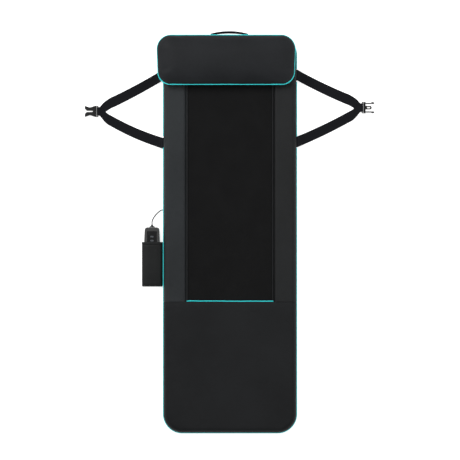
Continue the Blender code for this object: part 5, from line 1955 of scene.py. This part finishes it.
LAMPS = (
    Lamp("key_light", (-2.6, 2.4, 4.2), 2.8, 160.0),
    Lamp("fill_light", (3.2, -0.6, 4.6), 3.2, 40.0),
    Lamp("head_light", (1.5, 1.7, 1.7), 0.9, 9.0),
)


@dataclass
class Studio:
    """A pale floor, soft lights and a camera high above."""

    view_width: float = 1.9697
    middle_y: float = 0.0193
    lens: float = 250.0
    sensor: float = 36.0
    floor_reach: float = 14.0
    floor_z: float = -0.0006
    floor_tone: float = 0.9
    floor_glow: float = 0.78
    air_glow: float = 0.32

    def build(self) -> None:
        """Build the floor, the lights, the world and the camera."""
        bpy.context.scene.view_settings.view_transform = "Standard"
        self.floor()
        self.world()
        for lamp in LAMPS:
            self.light(lamp)
        self.camera()

    def floor(self) -> None:
        """A wide pale floor just under the object."""
        bm = bmesh.new()
        reach = self.floor_reach
        corners = ((-reach, -reach), (reach, -reach), (reach, reach), (-reach, reach))
        bm.faces.new([bm.verts.new((x, y, self.floor_z)) for x, y in corners])
        mesh = bpy.data.meshes.new("studio_floor")
        bm.to_mesh(mesh)
        bm.free()
        paint = bpy.data.materials.new("floor_paint")
        paint.use_nodes = True
        shader = paint.node_tree.nodes["Principled BSDF"]
        shader.inputs["Base Color"].default_value = (self.floor_tone,) * 3 + (1.0,)
        shader.inputs["Roughness"].default_value = 0.9
        shader.inputs["Specular IOR Level"].default_value = 0.0
        shader.inputs["Emission Color"].default_value = (1.0, 1.0, 1.0, 1.0)
        shader.inputs["Emission Strength"].default_value = self.floor_glow
        mesh.materials.append(paint)
        floor = bpy.data.objects.new("studio_floor", mesh)
        bpy.context.collection.objects.link(floor)

    def world(self) -> None:
        """Even grey light from all round."""
        world = bpy.data.worlds.new("studio_air")
        world.use_nodes = True
        air = world.node_tree.nodes["Background"]
        air.inputs["Color"].default_value = (1.0, 1.0, 1.0, 1.0)
        air.inputs["Strength"].default_value = self.air_glow
        bpy.context.scene.world = world

    def light(self, lamp: Lamp) -> None:
        """Hang one lamp."""
        data = bpy.data.lights.new(lamp.name, "AREA")
        data.shape = "SQUARE"
        data.size = lamp.size
        data.energy = lamp.power
        hung = bpy.data.objects.new(lamp.name, data)
        hung.location = lamp.place
        hung.rotation_euler = (-Vector(lamp.place)).to_track_quat("-Z", "Y").to_euler()
        bpy.context.collection.objects.link(hung)

    def camera(self) -> None:
        """A long lens straight above, with the head end up."""
        data = bpy.data.cameras.new("overhead_camera")
        data.lens = self.lens
        data.sensor_width = self.sensor
        data.clip_end = 100.0
        camera = bpy.data.objects.new("overhead_camera", data)
        height = self.view_width * self.lens / self.sensor
        camera.location = (0.0, self.middle_y, height)
        bpy.context.collection.objects.link(camera)
        bpy.context.scene.camera = camera


def main() -> None:
    """Load the frame, build each sub-assembly over it and set the studio round it."""
    logging.basicConfig(level=logging.INFO, format="%(name)s: %(message)s")
    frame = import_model()
    nodes = frame["nodes"]
    sizes = MatSizes.from_frame()
    gaps = tuple((y - ROOT_GAP_HALF, y + ROOT_GAP_HALF) for y in ROOTS_Y)
    BackSection(sizes, gaps).build()
    LegSection(sizes).build()
    Filling(sizes).build()
    Pillow.from_frame().build()
    for side, bar in ((Side.LEFT, "socket"), (Side.RIGHT, "plug")):
        bar_low, bar_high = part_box(f"buckle_{bar}")
        middle_y = (bar_low.y + bar_high.y) / 2
        strap_low, strap_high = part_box(f"{side.name.lower()}_strap")
        reach = max(abs(strap_low.x), abs(strap_high.x)) - BAR_INSET
        strap = Strap(side, sizes.edge_x, sizes.seam_z, Vector((reach * side.value, middle_y, BAR_Z)))
        if side is Side.LEFT:
            strap.roots_y, strap.lower_sag = LEFT_ROOTS_Y, LEFT_LOWER_SAG
        strap.build()
    for part in (
        BuckleSocket("buckle_socket", "buckle_socket_body", BUCKLE_PLASTIC, Body.SOCKET, "black_plastic"),
        MouldedPart("buckle_plug", "buckle_plug_body", BUCKLE_PLASTIC, Body.PLUG, "black_plastic"),
        MouldedPart("upper_prong", "upper_prong_arm", BUCKLE_PLASTIC, Body.UPPER_PRONG, "black_plastic"),
        MouldedPart("lower_prong", "lower_prong_arm", BUCKLE_PLASTIC, Body.LOWER_PRONG, "black_plastic"),
        MouldedPart("power_inlet", "power_inlet_socket", BUCKLE_PLASTIC, Body.BACK, "black_plastic", 0.0003),
        MouldedPart("cord_grommet", "cord_grommet_ring", SOFT_RUBBER, Body.BACK, "rubber", 0.0003),
    ):
        part.build()
    CarryHandle.from_frame().build()
    Pocket.from_frame(sizes).build()
    Handset.from_frame().build()
    HandsetCord().build()
    dress_hidden(nodes)
    Studio().build()


def dress_hidden(nodes: dict[str, bpy.types.Object]) -> None:
    """Dress the frame nodes that stay inside and keep their own shape.

    Args:
        nodes: The frame's nodes by name.
    """
    dress(nodes, ("back_reflective_liner", "leg_reflective_liner"), FOIL_FELT)
    dress(nodes, ("back_heating_sheet",), CARBON_CLOTH)
    dress(nodes, ("back_wiring_loom", "leg_wiring_loom"), SOFT_RUBBER)
    dress(nodes, ("pillow_hook_strip", "pillow_loop_strip"), STRAP_WEBBING)
    steel = [name for name in nodes if name.startswith(("vibration_motor", "eccentric_weight"))]
    dress(nodes, steel, MOTOR_STEEL)
    dress(nodes, ("thermostat",), KEYPAD_FILM)
    dress(nodes, ("handset_circuit_board",), BOARD_RESIN)


if __name__ == "__main__":
    main()
